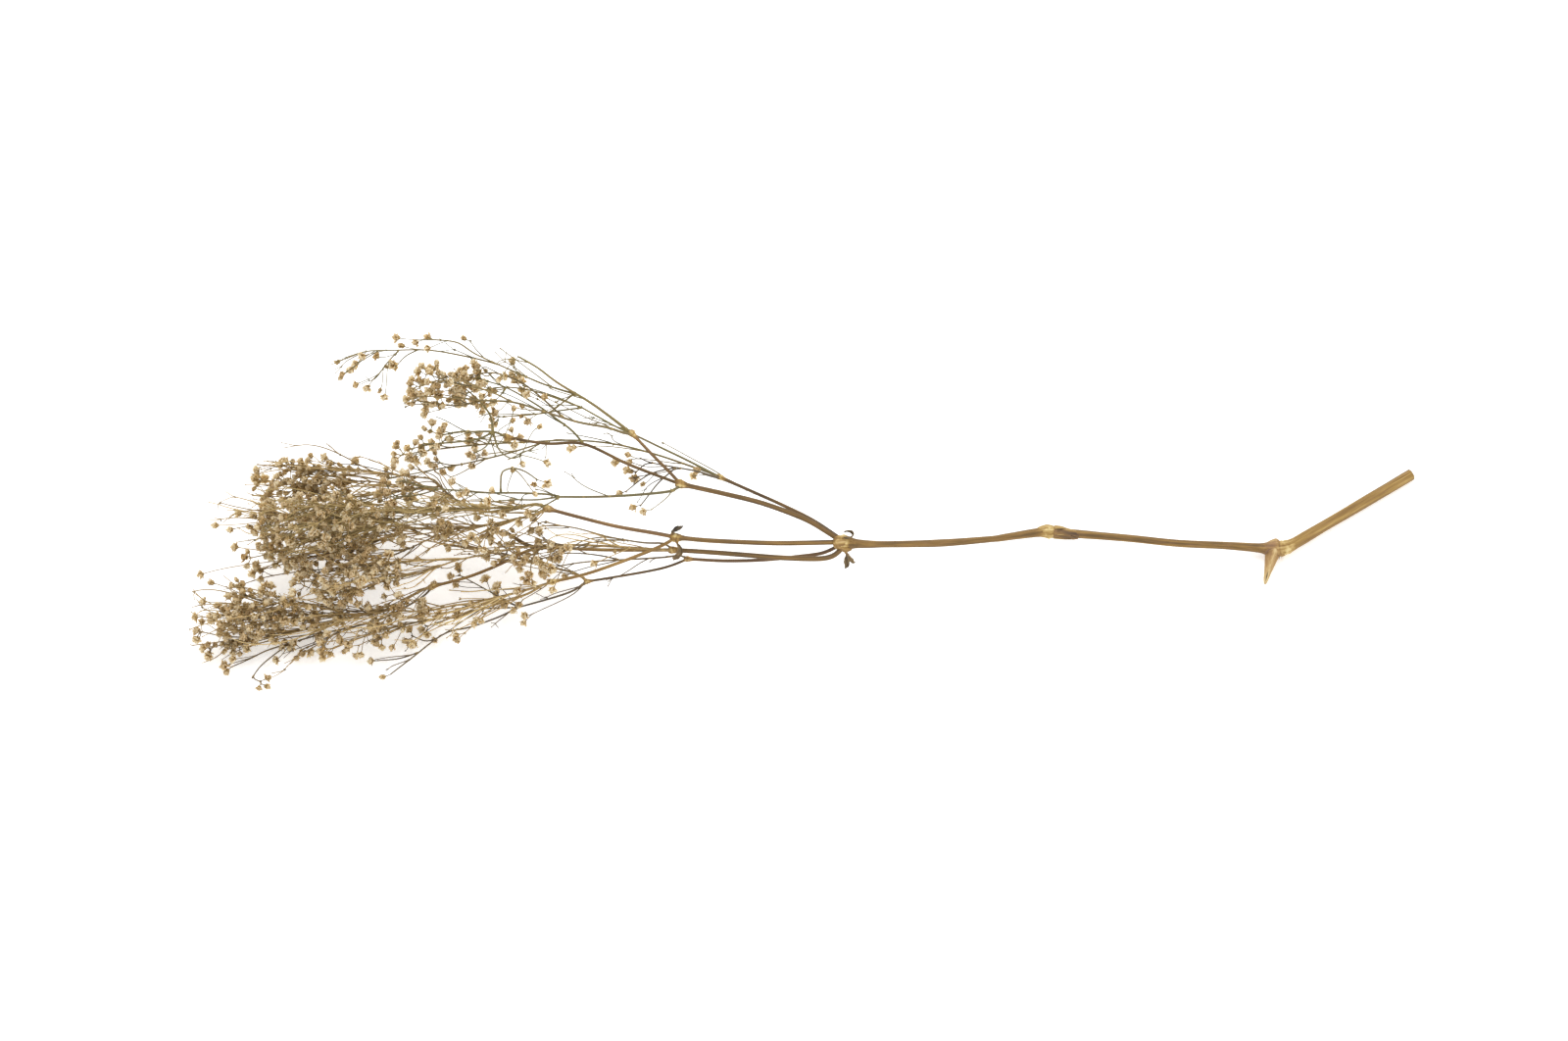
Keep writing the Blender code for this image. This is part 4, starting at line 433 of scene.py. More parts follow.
        (1.0, 0.8, [(-128, 52.6, 10.6), (-146, 47, 10), (-166, 42, 10), (-186, 38, 9), (-206, 34, 8)]),
    ], tufts=[
        (-150, 56, 8, 4, 5), (-168, 54, 6, 5, 6), (-188, 51, 7, 6, 6), (-206, 47, 6, 6, 6),
        (-168, 45, 14, 5, 6), (-188, 42, 13, 6, 6), (-210, 38, 10, 6, 6),
    ]),
}

# Brittle leaves that are left at two knuckles: the solid leaf's places and widths, then how the real one has
# dried: half its thickness, its roll in degrees, its widening, the height of its folds, the share of its
# length that is left, which way its blade lies across, and its tone
LEAVES = {
    "leaf_ring": dict(
        places=[(22.9, 4.6, 21.6), (24.9, 4.3, 21.9), (26.9, 5.1, 22.2), (27.7, 6.9, 22.4),
            (26.8, 8.6, 22.5), (24.8, 9.2, 22.5), (23.1, 8.4, 22.4)],
        widths=[1.6, 2.2, 2.4, 2.4, 2.2, 1.9, 1.4], thick=0.3, roll=70.0, wider=1.1, fold=0.0,
        left=1.0, blade=(0.35, -0.1, 0.93), tone=0.5,
    ),
    "leaf_folded": dict(
        places=[(24.6, -4.9, 13.6), (24.9, -6.6, 11.6), (25.3, -8.4, 9.6), (26.0, -10.2, 8.2),
            (27.0, -11.8, 7.6)],
        widths=[2.2, 3.0, 3.8, 5.0, 5.8], thick=0.15, roll=120.0, wider=1.3, fold=1.3,
        left=0.88, blade=(1.0, 0.1, 0.0), tone=0.3,
    ),
    "leaf_dark_curl": dict(
        places=[(-64.6, 5.9, 30.6), (-63.0, 6.9, 31.2), (-61.2, 7.8, 31.6), (-59.6, 8.6, 31.2),
            (-58.6, 9.6, 30.2)],
        widths=[1.8, 2.6, 2.8, 2.2, 1.2], thick=0.2, roll=250.0, wider=2.2, fold=0.1,
        left=0.82, blade=(0.2, -0.7, 0.7), tone=1.0,
    ),
    "leaf_hanging": dict(
        places=[(-61.7, 0.1, 26.0), (-60.3, -1.6, 25.0), (-60.1, -3.9, 24.0), (-61.2, -6.2, 23.0),
            (-64.3, -8.0, 21.8)],
        widths=[1.4, 2.4, 2.8, 2.4, 1.2], thick=0.18, roll=150.0, wider=1.75, fold=0.15,
        left=0.95, blade=(-0.95, 0.1, -0.3), tone=0.25,
    ),
}
# What a spray has where the table says nothing
USUAL_GREEN, USUAL_RUNNERS, USUAL_BARE = 0.15, 0.15, 0.7


# Growth, by the same rules and draws as the solids

def place(along, up, height):
    """The point in space that a (along, up, height) place stands for."""
    across = (up - height * math.cos(VIEW_RISE)) / math.sin(VIEW_RISE) + ACROSS_SHIFT
    return np.array([along + ALONG_SHIFT, across, height])


def placed(places):
    return np.array([place(*spot) for spot in places])


def unit(vector):
    return vector / max(np.linalg.norm(vector), 1e-9)


def turned(side, other, turn):
    """The direction that is turned so far from one side towards the other."""
    return math.cos(turn) * side + math.sin(turn) * other


def strayed(way, loose, draw):
    """The direction, strayed by chance."""
    return unit(way + np.array([draw.gauss(0, loose) for _ in range(3)]))


def clamped(value):
    return min(1.0, max(0.0, value))


def smooth(points, spacing):
    """Points about `spacing` apart on a smooth curve through the given ones, which it keeps."""
    ends = np.vstack([2 * points[0] - points[1], points, 2 * points[-1] - points[-2]])
    curve = []
    for i in range(1, len(ends) - 2):
        before, start, stop, after = ends[i - 1 : i + 3]
        steps = max(1, round(np.linalg.norm(stop - start) / spacing))
        for t in np.arange(steps) / steps:
            linear = (stop - before) * t
            square = (2 * before - 5 * start + 4 * stop - after) * t**2
            cubic = (3 * start - before - 3 * stop + after) * t**3
            curve.append(start + 0.5 * (linear + square + cubic))
    curve.append(points[-1])
    return np.array(curve)


def stations_of(curve):
    """How far along the curve each of its points is."""
    return np.concatenate([[0.0], np.cumsum(np.linalg.norm(np.diff(curve, axis=0), axis=1))])


def evened(curve, spacing, first=0.0):
    """The same curve with its points an even distance apart, after a first step of its own."""
    along = stations_of(curve)
    count = max(2, round((along[-1] - first) / spacing) + 1)
    stations = np.linspace(first, along[-1], count)
    if first > 0:
        stations = np.insert(stations, 0, 0.0)
    return np.stack([np.interp(stations, along, curve[:, axis]) for axis in range(3)], axis=1)


def traced(places, spacing, curve_step=CURVE_STEP, first=0.0):
    """Points an even distance apart on a smooth curve through the places."""
    return evened(smooth(placed(places), curve_step), spacing, first)


def across_axes(direction):
    """Two directions square to the given one."""
    helper = np.array([0.0, 0.0, 1.0]) if abs(direction[2]) < 0.9 else np.array([1.0, 0.0, 0.0])
    side = unit(np.cross(direction, helper))
    return side, np.cross(direction, side)


def sideways(direction, draw):
    """A direction square to the given one, by chance."""
    side, other = across_axes(direction)
    return turned(side, other, draw.uniform(0, 2 * math.pi))


def ring(centre, direction, side, radius, count):
    """Corners in a circle square to the direction, the first one towards side."""
    side = unit(side - direction * np.dot(side, direction))
    other = np.cross(direction, side)
    turns = [2 * math.pi * k / count for k in range(count)]
    return [centre + radius * turned(side, other, turn) for turn in turns]


def knob_ways(fork, axis, count, draw):
    """Directions that the florets of a tuft leave its little knuckle in."""
    side = sideways(axis, draw)
    if count <= 3:
        corners = ring(fork - axis * KNOB_RADIUS / 3, axis, side, KNOB_RADIUS * 0.94, 3)
        corners.append(fork + axis * KNOB_RADIUS)
        tops = [(0, 1, 3), (1, 2, 3), (2, 0, 3)]
    else:
        rise, width = KNOB_RADIUS * 0.58, KNOB_RADIUS * 0.82
        corners = ring(fork - axis * rise, axis, side, width, 3)
        corners += ring(fork + axis * rise, axis, -side, width, 3)
        tops = [(3, 4, 5), (4, 3, 2), (5, 4, 0), (3, 5, 1), (0, 1, 5), (1, 2, 3), (2, 0, 4)]
    return [unit(np.mean([corners[k] for k in top], axis=0) - fork) for top in tops]


class Space:
    """Round-ended bars that the nodes fill, so that what grows later is bent clear of them."""

    def __init__(self):
        self.bars = []
        self.owners = []
        self.table = None

    def add(self, node, tuft, start, stop, radius, is_head=False):
        self.bars.append((*start, *stop, radius, is_head, tuft))
        self.owners.append(node)
        self.table = None

    def add_line(self, node, tuft, points, radii):
        for i in range(len(points) - 1):
            self.add(node, tuft, points[i], points[i + 1], max(radii[i], radii[i + 1]))

    def gap(self, node, tuft, start, stop, radius, crosses_own=False):
        """Smallest gap from a bar to other tufts and nodes; it may cross its own node's twigs."""
        if self.table is None:
            self.table = np.array(self.bars)
            self.names = np.array(self.owners)
        apart_from = (self.names != node) | (self.table[:, 8] != tuft)
        if crosses_own:
            apart_from &= (self.names != node) | (self.table[:, 7] > 0)
        others = self.table[apart_from]
        if not len(others):
            return 1e9
        first, second, radii = others[:, 0:3], others[:, 3:6], others[:, 6]
        way, ways, apart = stop - start, second - first, start - first
        a, e = way @ way + 1e-9, np.sum(ways * ways, axis=1) + 1e-9
        b, c, f = ways @ way, apart @ way, np.sum(ways * apart, axis=1)
        s = np.clip((b * f - c * e) / np.maximum(a * e - b * b, 1e-9), 0, 1)
        t = np.clip((b * s + f) / e, 0, 1)
        s = np.clip((b * t - c) / a, 0, 1)
        between = apart + s[:, None] * way - t[:, None] * ways
        return float(np.min(np.linalg.norm(between, axis=1) - radii - radius))


def curve_of(route, spacing, first=0.0):
    """Smooth points and radii of a route."""
    thick, thin, places = route
    points = traced(places, spacing, first=first)
    radii = np.linspace(thick / 2, thin / 2, len(points))
    return points, np.maximum(radii, TWIG_LEAST_RADIUS)


def seats(curves, taken):
    """Places between the rings of the twigs, where others can grow from, with the twigs' direction."""
    found = []
    for points in (curve[0] for curve in curves):
        for start, stop in zip(points, points[1:]):
            for share in SEAT_SHARES:
                spot = start + share * (stop - start)
                if all(np.linalg.norm(spot - other) > SEAT_SPACING for other in taken):
                    found.append((spot, unit(stop - start)))
    return found


def seat_cost(seat, centre, reach):
    """How badly a seat suits a tuft: too far, too near or turned away from it."""
    spot, tangent = seat
    length = np.linalg.norm(centre - spot)
    forward = np.dot(centre - spot, tangent) / max(length, 1e-6)
    return max(length - reach, (reach - length) / 2) + TURN_COST * max(0.0, EASY_COSINE - forward)


def matched(curves, taken, tufts):
    """Each tuft with its seat, the outermost first: every twig ends in one, and the rest fork off."""
    order = sorted(range(len(tufts)), key=lambda i: tufts[i][0])
    centres = [place(*tuft[:3]) for tuft in tufts]
    reaches = [tuft[4] + TUFT_REACH for tuft in tufts]
    chosen = {}
    for points in (curve[0] for curve in curves):
        ahead = unit(points[-1] - points[-2])
        end = (points[-1] - ahead * END_INSET, ahead)
        left = [i for i in order if i not in chosen]
        if left:
            best = min(left, key=lambda i: seat_cost(end, centres[i], reaches[i]))
            if seat_cost(end, centres[best], reaches[best]) < END_REACH:
                chosen[best] = end
    free = seats(curves, taken)
    for i in order:
        if i not in chosen:
            best = min(range(len(free)), key=lambda k: seat_cost(free[k], centres[i], reaches[i]))
            chosen[i] = free.pop(best)
    return [(i, tufts[i], centres[i], chosen[i]) for i in order]


def twig_to(root, tangent, tip, swing):
    """Three points of a twig that leaves along its parent and bends to its tip."""
    length = np.linalg.norm(tip - root)
    control = root + unit(tangent + TIP_PULL * unit(tip - root)) * length / 2 + swing
    return np.array([root, 0.25 * root + 0.5 * control + 0.25 * tip, tip])


def core(base, aim):
    """The ends of the thick bar inside a head."""
    return base + aim * HEAD_LENGTH * CORE_FROM, base + aim * HEAD_LENGTH * CORE_TO


def head_fits(space, node, tuft, near, root, base, aim):
    """True where a head and its pedicel are above the surface and clear of what has grown already."""
    lean = math.sqrt(max(0.0, 1 - aim[2] ** 2))
    lowest = min(base[2], base[2] + aim[2] * HEAD_LENGTH * 0.9) - HEAD_RADIUS * lean
    if lowest < FLOOR_GAP:
        return False
    middle = base + aim * HEAD_LENGTH * HEAD_MIDDLE
    if any(np.linalg.norm(middle - other) < HEAD_SPACING for other in near):
        return False
    low, high = core(base, aim)
    if space.gap(node, tuft, low, high, CORE_RADIUS) < NODE_GAP:
        return False
    start = root + unit(base - root) * min(LEAST_PEDICEL, np.linalg.norm(base - root)) / 2
    return space.gap(node, tuft, start, base, PEDICEL_DIA / 2, crosses_own=True) > NODE_GAP


def fit_head(space, node, tuft, near, fork, way, reach, draw):
    """A clear base and aim for a head that grows from the fork, or None."""
    for attempt in range(HEAD_TRIES):
        loose = FIRST_LOOSE + LOOSE_STEP * attempt
        outward = strayed(way, loose, draw)
        length = max(reach * draw.uniform(0.92, 1.22), HEAD_LENGTH * HEAD_MIDDLE + LEAST_PEDICEL)
        base = fork + outward * (length - HEAD_LENGTH * HEAD_MIDDLE)
        aim = strayed(outward, AIM_LOOSE, draw)
        if head_fits(space, node, tuft, near, fork, base, aim):
            space.add(node, tuft, *core(base, aim), CORE_RADIUS, True)
            space.add(node, tuft, fork, base, PEDICEL_DIA / 2)
            return base, aim
    return None


def clear_twig(space, node, tuft, root, tangent, fork, draw):
    """A twig from its root to the fork, bent until it is clear of other sprays, or None."""
    for attempt in range(TWIG_TRIES):
        swing = np.array([draw.gauss(0, 1) for _ in range(3)]) * min(SWING_STEP * attempt, MOST_SWING)
        line = twig_to(root, tangent, fork + swing / 2, swing)
        first, second = line[1] - line[0], line[2] - line[1]
        is_sharp = np.dot(unit(first), unit(second)) < LEAST_BEND_COSINE
        if is_sharp or line[:, 2].min() < LEAST_TWIG_HEIGHT:
            continue
        leave = line[0] + unit(first) * min(TWIG_LEAVE, 0.8 * np.linalg.norm(first))
        pairs = ((leave, line[1]), (line[1], line[2]))
        gaps = [space.gap(node, tuft, *pair, TWIG_DIA / 2, crosses_own=True) for pair in pairs]
        if min(gaps) > NODE_GAP:
            return line
    return None


def grow_tuft(space, node, tuft, spec, centre, seat, draw):
    """The line of a tuft's twig and its florets' (base, aim) places, or None where none fits."""
    full_count, spread = spec[3:]
    count = max(1, round(full_count * FLORET_SHARE))
    root, tangent = seat
    axis = unit(centre - root)
    if count == 1:
        way = unit(centre - root)
        found = fit_head(space, node, tuft, [], root, way, np.linalg.norm(centre - root), draw)
        return None if found is None else (None, root, tangent, [found])
    fork = centre - axis * spread * FORK_SHARE
    if np.dot(fork - root, axis) < LEAST_TWIG:
        fork = root + tangent * LEAST_TWIG
    line = clear_twig(space, node, tuft, root, tangent, fork, draw)
    if line is None:
        return None
    fork = line[-1]
    axis = unit(unit(fork - line[1]) + axis)
    near, heads = [], []
    for i, normal in enumerate(knob_ways(fork, axis, count, draw)):
        way = unit(normal + AXIS_PULL * axis)
        found = None
        if i < count:
            found = fit_head(space, node, tuft, near, fork, way, spread * PEDICEL_SHARE, draw)
        if found is not None:
            heads.append(found)
            near.append(found[0] + found[1] * HEAD_LENGTH * HEAD_MIDDLE)
    space.add_line(node, tuft, line, [TWIG_DIA / 2] * len(line))
    return line, fork, axis, heads


def with_knuckle(points, radii, length, diameter):
    """The branch with the swollen knuckle that it ends in."""
    end, direction = points[-1], unit(points[-1] - points[-2])
    before = [p for p in points if np.dot(end - p, direction) > length * SWELL_FROM]
    stations = before + [end + direction * length * share for share, _ in SWELL]
    swollen = [max(diameter * share, LEAST_SWELL) for _, share in SWELL]
    return np.array(stations), list(radii[: len(before)]) + swollen


def fill_stem(space):
    """Marks the room that the stem and the branches fill."""
    name = "main_stem"
    for table in (STEM, SPUR):
        space.add_line(name, -1, placed(spot for spot, _ in table), [dia / 2 for _, dia in table])
    for key, route in BRANCHES.items():
        line, line_radii = curve_of(route, BRANCH_SPACING)
        if key in KNUCKLES:
            line, line_radii = with_knuckle(line, line_radii, *KNUCKLES[key])
        space.add_line(name, -1, line, line_radii)


def surface_of(item):
    """The object's surface in millimetres, to measure gaps from."""
    corners = [item.matrix_world @ vertex.co / MM for vertex in item.data.vertices]
    return BVHTree.FromPolygons(corners, [tuple(face.vertices) for face in item.data.polygons])


def outside_by(surface, spots):
    """How far outside the surface the nearest spot is; less than zero where one is inside."""
    gaps = []
    for spot in spots:
        near, normal, _, distance = surface.find_nearest(Vector(spot))
        gaps.append(math.copysign(distance, (Vector(spot) - near).dot(normal)))
    return min(gaps)


def clear_of_parent(points, radius, surface):
    """The route with its start moved along it until it is just clear of the knuckle it grows from."""
    step = unit(points[1] - points[0])
    side = across_axes(step)[0]
    travel = 0.0
    while travel < START_REACH:
        spot = points[0] + step * travel
        if outside_by(surface, [spot] + ring(spot, step, side, radius, 8)) >= NODE_GAP:
            break
        travel += START_STEP
    moved = points.copy()
    moved[0] = points[0] + step * travel
    return moved


def spray_curves(name, spray, space, surface):
    """The spray's twigs, each but the first rooted in an earlier one, and the seats that they take."""
    curves, taken = [], []
    for i, route in enumerate(spray["twigs"]):
        points, radii = curve_of(route, TWIG_SPACING, FIRST_STEP if i == 0 else 0.0)
        if i == 0:
            points = clear_of_parent(points, radii[0], surface)
        else:
            points[0] = min(seats(curves, taken), key=lambda seat: np.linalg.norm(seat[0] - points[0]))[0]
            radii[0] *= 0.75
            taken.append(points[0])
        curves.append((points, radii))
    for points, radii in curves:
        space.add_line(name, -1, points, radii)
    return curves, taken


# Shapes

def inside_solids(corners):
    """Draws in whatever would reach past the box round the solids, and nothing else."""
    for sign, limits in ((-1.0, cad_box[0]), (1.0, cad_box[1])):
        for axis in range(3):
            start = sign * limits[axis] / MM - DRAWN_ROOM
            beyond = sign * corners[:, axis] - start
            drawn = start + beyond * DRAWN_ROOM / (DRAWN_ROOM + DRAWN_FROM_PAST)
            corners[:, axis] = np.where(beyond > 0, sign * drawn, corners[:, axis])
    return corners


class Piece:
    """Corners, faces, finishes and surface values of one piece, gathered before its mesh is made.

    grain is a place in millimetres that patterns are drawn by, tone runs from pale to dark, and reach
    runs from the foot to the tip of what it is on, or says how pink or green a piece's first finish is.
    """

    def __init__(self, stain=None):
        self.count = 0
        self.stain = stain
        self.corners, self.faces, self.finish = [], [], []
        self.grain, self.tone, self.reach = [], [], []

    def add(self, shape, finish, tone=None, stain=None):
        corners, faces, grain, shades, reach = shape
        stain = self.stain if stain is None and finish == 0 else stain
        reach = reach if stain is None else np.broadcast_to(stain, (len(corners),))
        self.corners.append(corners)
        self.faces.append(np.where(faces >= 0, faces + self.count, -1))
        self.finish.append(np.full(len(faces), finish))
        self.grain.append(grain)
        self.tone.append(np.full(len(corners), tone) if tone is not None else shades)
        self.reach.append(reach)
        self.count += len(corners)

    def add_thread(self, points, radii, tone, sides=PEDICEL_SIDES):
        """Adds a limb that thins evenly from its first radius to its second."""
        self.add(limb(points, np.linspace(*radii, len(points)), sides, tone), 0)

    def made(self, name, finishes):
        """The piece as an object."""
        corners = np.concatenate(self.corners)
        if name.startswith("spray"):
            corners = inside_solids(corners)
        corners = np.clip(corners, np.array(cad_box[0]) / MM, np.array(cad_box[1]) / MM) * MM
        faces = np.concatenate(self.faces)
        mesh = bpy.data.meshes.new(name)
        flat = faces.ravel()
        loops = flat[flat >= 0]
        sizes = (faces >= 0).sum(axis=1)
        mesh.vertices.add(len(corners))
        mesh.vertices.foreach_set("co", corners.astype(np.float32).ravel())
        mesh.loops.add(len(loops))
        mesh.loops.foreach_set("vertex_index", loops.astype(np.int32))
        mesh.polygons.add(len(faces))
        mesh.polygons.foreach_set("loop_start", (np.cumsum(sizes) - sizes).astype(np.int32))
        mesh.polygons.foreach_set("material_index", np.concatenate(self.finish).astype(np.int32))
        mesh.polygons.foreach_set("use_smooth", np.ones(len(faces), dtype=bool))
        grain = mesh.attributes.new("grain", "FLOAT_VECTOR", "POINT")
        grain.data.foreach_set("vector", np.concatenate(self.grain).astype(np.float32).ravel())
        for key, values in (("tone", self.tone), ("reach", self.reach)):
            layer = mesh.attributes.new(key, "FLOAT", "POINT")
            layer.data.foreach_set("value", np.concatenate(values).astype(np.float32))
        for finish in finishes:
            mesh.materials.append(finish)
        mesh.update(calc_edges=True)
        item = bpy.data.objects.new(name, mesh)
        bpy.context.scene.collection.objects.link(item)
        return item


def grid_faces(rows, columns, is_round):
    """Quads of a grid of corners, row after row, that may close round on itself."""
    across = columns if is_round else columns - 1
    row, column = np.meshgrid(np.arange(rows - 1), np.arange(across), indexing="ij")
    a = row * columns + column
    b = row * columns + (column + 1) % columns
    return np.stack([a, b, b + columns, a + columns], axis=-1).reshape(-1, 4)


def carried_sides(points):
    """Tangents and side directions along a curve that turn with it and don't spin."""
    tangents = np.gradient(points, axis=0)
    tangents /= np.maximum(np.linalg.norm(tangents, axis=1, keepdims=True), 1e-9)
    side = across_axes(tangents[0])[0]
    sides = []
    for tangent in tangents:
        side = unit(side - tangent * np.dot(side, tangent))
        sides.append(side)
    return tangents, np.array(sides)


def limb(points, radii, sides, tone, relief=None, first=0.0):
    """A round limb with closed ends; relief gives the share that its radius grows by at a turn and place."""
    tangents, side = carried_sides(points)
    other = np.cross(tangents, side)
    along = stations_of(points) + first
    turn = 2 * math.pi * np.arange(sides) / sides
    spread = np.asarray(radii)[:, None] * np.ones(sides)
    dips = np.zeros_like(spread)
    if relief is not None:
        dips = relief(turn[None, :], along[:, None])
        spread = spread * (1 + dips)
    cosine, sine = np.cos(turn)[None, :, None], np.sin(turn)[None, :, None]
    arms = cosine * side[:, None, :] + sine * other[:, None, :]
    corners = (points[:, None, :] + spread[:, :, None] * arms).reshape(-1, 3)
    grain = np.stack([
        spread * np.cos(turn), spread * np.sin(turn), along[:, None] * np.ones(sides),
    ], axis=-1).reshape(-1, 3)
    faces = grid_faces(len(points), sides, True)
    tips = len(corners) + np.arange(2)
    foot = points[0] - tangents[0] * radii[0] * LIMB_TIP
    corners = np.vstack([corners, foot, points[-1] + tangents[-1] * radii[-1] * LIMB_TIP])
    grain = np.vstack([grain, [0, 0, along[0]], [0, 0, along[-1]]])
    start = np.arange(sides)
    stop = start + (len(points) - 1) * sides
    nexts = (start + 1) % sides
    none = np.full(sides, -1)
    low = np.stack([nexts, start, np.full(sides, tips[0]), none], axis=1)
    high = np.stack([stop, stop[nexts], np.full(sides, tips[1]), none], axis=1)
    faces = np.vstack([faces, low, high])
    tones = np.broadcast_to(np.asarray(tone, float), (len(points),))
    # Grooves are painted darker and ridges paler, in step with their depth: painted shade in the grooves and
    # painted light on the ridges
    groove_shaded_tones = np.clip(tones[:, None] - GROOVE_SHADE * dips, 0, 1).ravel()
    tones = np.concatenate([groove_shaded_tones, [tones[0], tones[-1]]])
    reach = np.concatenate([np.repeat(along / max(along[-1], 1e-6), sides), [0.0, 1.0]])
    return corners, faces, grain, tones, reach


def sheet(grid, grain, tone, reach):
    """A thin sheet from a grid of corners."""
    faces = grid_faces(*grid.shape[:2], False)
    return grid.reshape(-1, 3), faces, grain.reshape(-1, 3), tone.ravel(), reach.ravel()


def posed(shape, base, aim, spin, size):
    """A shape made along +Z at the origin, set on its base and turned to its aim."""
    corners, faces, grain, tone, reach = shape
    side, other = across_axes(aim)
    axes = np.array([turned(side, other, spin), turned(other, -side, spin), aim])
    return corners @ axes * size + base, faces, grain, tone, reach


def joined(shapes):
    """One shape from several."""
    count, faces = 0, []
    for shape in shapes:
        faces.append(np.where(shape[1] >= 0, shape[1] + count, -1))
        count += len(shape[0])
    corners, _, grain, tone, reach = (np.concatenate(part) for part in zip(*shapes))
    return corners, np.concatenate(faces), grain, tone, reach


def petal(draw, turn, opening, tip_lean, length, width, foot):
    """One dried petal: narrow foot, broad notched tip, cupped, curled in and crumpled."""
    rows, columns = 5, 3
    shares = np.linspace(0, 1, rows)
    loose = np.array([draw.gauss(0, 0.3) for _ in range(rows)])
    leans = opening + (tip_lean - opening) * shares + loose * shares
    step = length / (rows - 1)
    out = foot + np.concatenate([[0.0], np.cumsum(np.sin(leans[:-1]) * step)])
    rise = 1.35 - 0.5 * foot + np.concatenate([[0.0], np.cumsum(np.cos(leans[:-1]) * step)])
    widths = width * np.interp(shares, [0, 0.25, 0.5, 0.75, 1.0], [0.4, 0.85, 1.15, 1.12, 0.5])
    twist, seed = draw.gauss(0, 0.7), draw.uniform(0, 50)
    grid, marks = np.zeros((rows, columns, 3)), np.zeros((rows, columns, 3))
    for i in range(rows):
        for k in range(columns):
            across = k / (columns - 1) - 0.5
            cup = -1.1 * across**2 * widths[i]
            bend = twist * shares[i]
            crumple = draw.gauss(0, 0.22) * shares[i] ** 0.7
            notch = 0.08 * shares[i] ** 4 * (1 - 2 * abs(across)) * width
            radial = out[i] + math.cos(leans[i]) * (cup + crumple) - across * widths[i] * math.sin(bend)
            level = rise[i] - math.sin(leans[i]) * (cup + crumple) - notch
            sideways = across * widths[i] * math.cos(bend) + draw.gauss(0, 0.07) * shares[i]
            grid[i, k] = (
                radial * math.cos(turn) - sideways * math.sin(turn),
                radial * math.sin(turn) + sideways * math.cos(turn), level,
            )
            marks[i, k] = (across * widths[i] + seed, shares[i] * length, seed)
    reach = shares[:, None] * np.ones(columns)
    return sheet(grid, marks, np.zeros((rows, columns)), reach)


def calyx(draw, spread):
    """The cup under the petals: round, with five ribs that end in pointed teeth."""
    columns = 10
    turn = 2 * math.pi * np.arange(columns) / columns
    rib = np.tile([1.0, 0.0], 5)
    grid, marks, reach = [], [], []
    for level, radius in ((0.0, 0.34), (0.18, 0.66), (0.6, 1.05), (1.15, 1.22), (2.0, 1.2 + spread)):
        top = level > 1.5
        lift = np.where(rib > 0.5, level, 1.3) if top else np.full(columns, level)
        wide = np.where(rib > 0.5, radius, 1.2) if top else radius * (1 + 0.1 * rib)
        wide = wide * (1 + 0.07 * np.array([draw.gauss(0, 1) for _ in turn]))
        grid.append(np.stack([wide * np.cos(turn), wide * np.sin(turn), lift * np.ones(columns)], axis=-1))
        marks.append(np.stack([rib, np.full(columns, draw.uniform(0, 9)), lift], axis=-1))
        reach.append(np.full(columns, level / 2.0))
    faces = grid_faces(len(grid), columns, True)
    return (
        np.array(grid).reshape(-1, 3), faces, np.array(marks).reshape(-1, 3),
        np.zeros(len(grid) * columns), np.array(reach).ravel(),
    )


# Sorts of head: petals, leans of the outer and inner ones at foot and tip in degrees, their lengths, how far
# the teeth of the cup spread in millimetres, and how old the petals look, from 0 to 1
SORTS = {
    "round": (22, (100, 35), (10, -25), (2.3, 3.1), 0.5, 0.12),
    "bell": (18, (70, 0), (5, -25), (2.5, 3.0), 0.3, 0.25),
    "half": (12, (40, -25), (0, -25), (2.4, 2.6), 0.1, 0.45),
    "withered": (8, (25, -15), (0, -10), (2.0, 2.1), -0.1, 0.85),
}
# How often each sort comes
SORT_SHARES = [0.36, 0.38, 0.16, 0.10]


def floret_kind(draw, kind):
    """Petals and calyx of one sort of head."""
    count, outer, inner, (first, last), spread, _ = SORTS[kind]
    petals = []
    for k in range(count):
        share = k / (count - 1)
        opening, tip_lean = (
            math.radians(a + (b - a) * share + draw.gauss(0, 12)) for a, b in zip(outer, inner)
        )
        length = first + (last - first) * share + draw.gauss(0, 0.3)
        width = draw.uniform(1.3, 2.2) * (0.75 if kind == "withered" else 1.0)
        turn = k * GOLDEN_TURN + draw.gauss(0, 0.3)
        petals.append(petal(draw, turn, opening, tip_lean, length, width, 1.0 - 0.85 * share))
    return joined(petals), calyx(draw, spread)


def floret_store(draw):
    """Several heads of each sort, to be set on the pedicels with their own turn and size."""
    return {kind: [floret_kind(draw, kind) for _ in range(HEADS_A_SORT)] for kind in SORTS}


def bract(length, width):
    """A little pointed scale that stands at a fork, made along +Z with its foot at the origin."""
    shares = np.array([0.0, 0.35, 0.7, 1.0])
    half = np.array([0.5, 0.55, 0.32, 0.04]) * width
    curl = 0.35 * length * shares**2
    grid = np.zeros((4, 3, 3))
    for i in range(4):
        grid[i, :, 0] = (-half[i], 0.0, half[i])
        grid[i, :, 1] = (curl[i], curl[i] - 0.35 * half[i], curl[i])
        grid[i, :, 2] = shares[i] * length
    marks = np.concatenate([grid[:, :, :2], grid[:, :, 2:]], axis=-1)
    return sheet(grid, marks, np.zeros((4, 3)), shares[:, None] * np.ones(3))


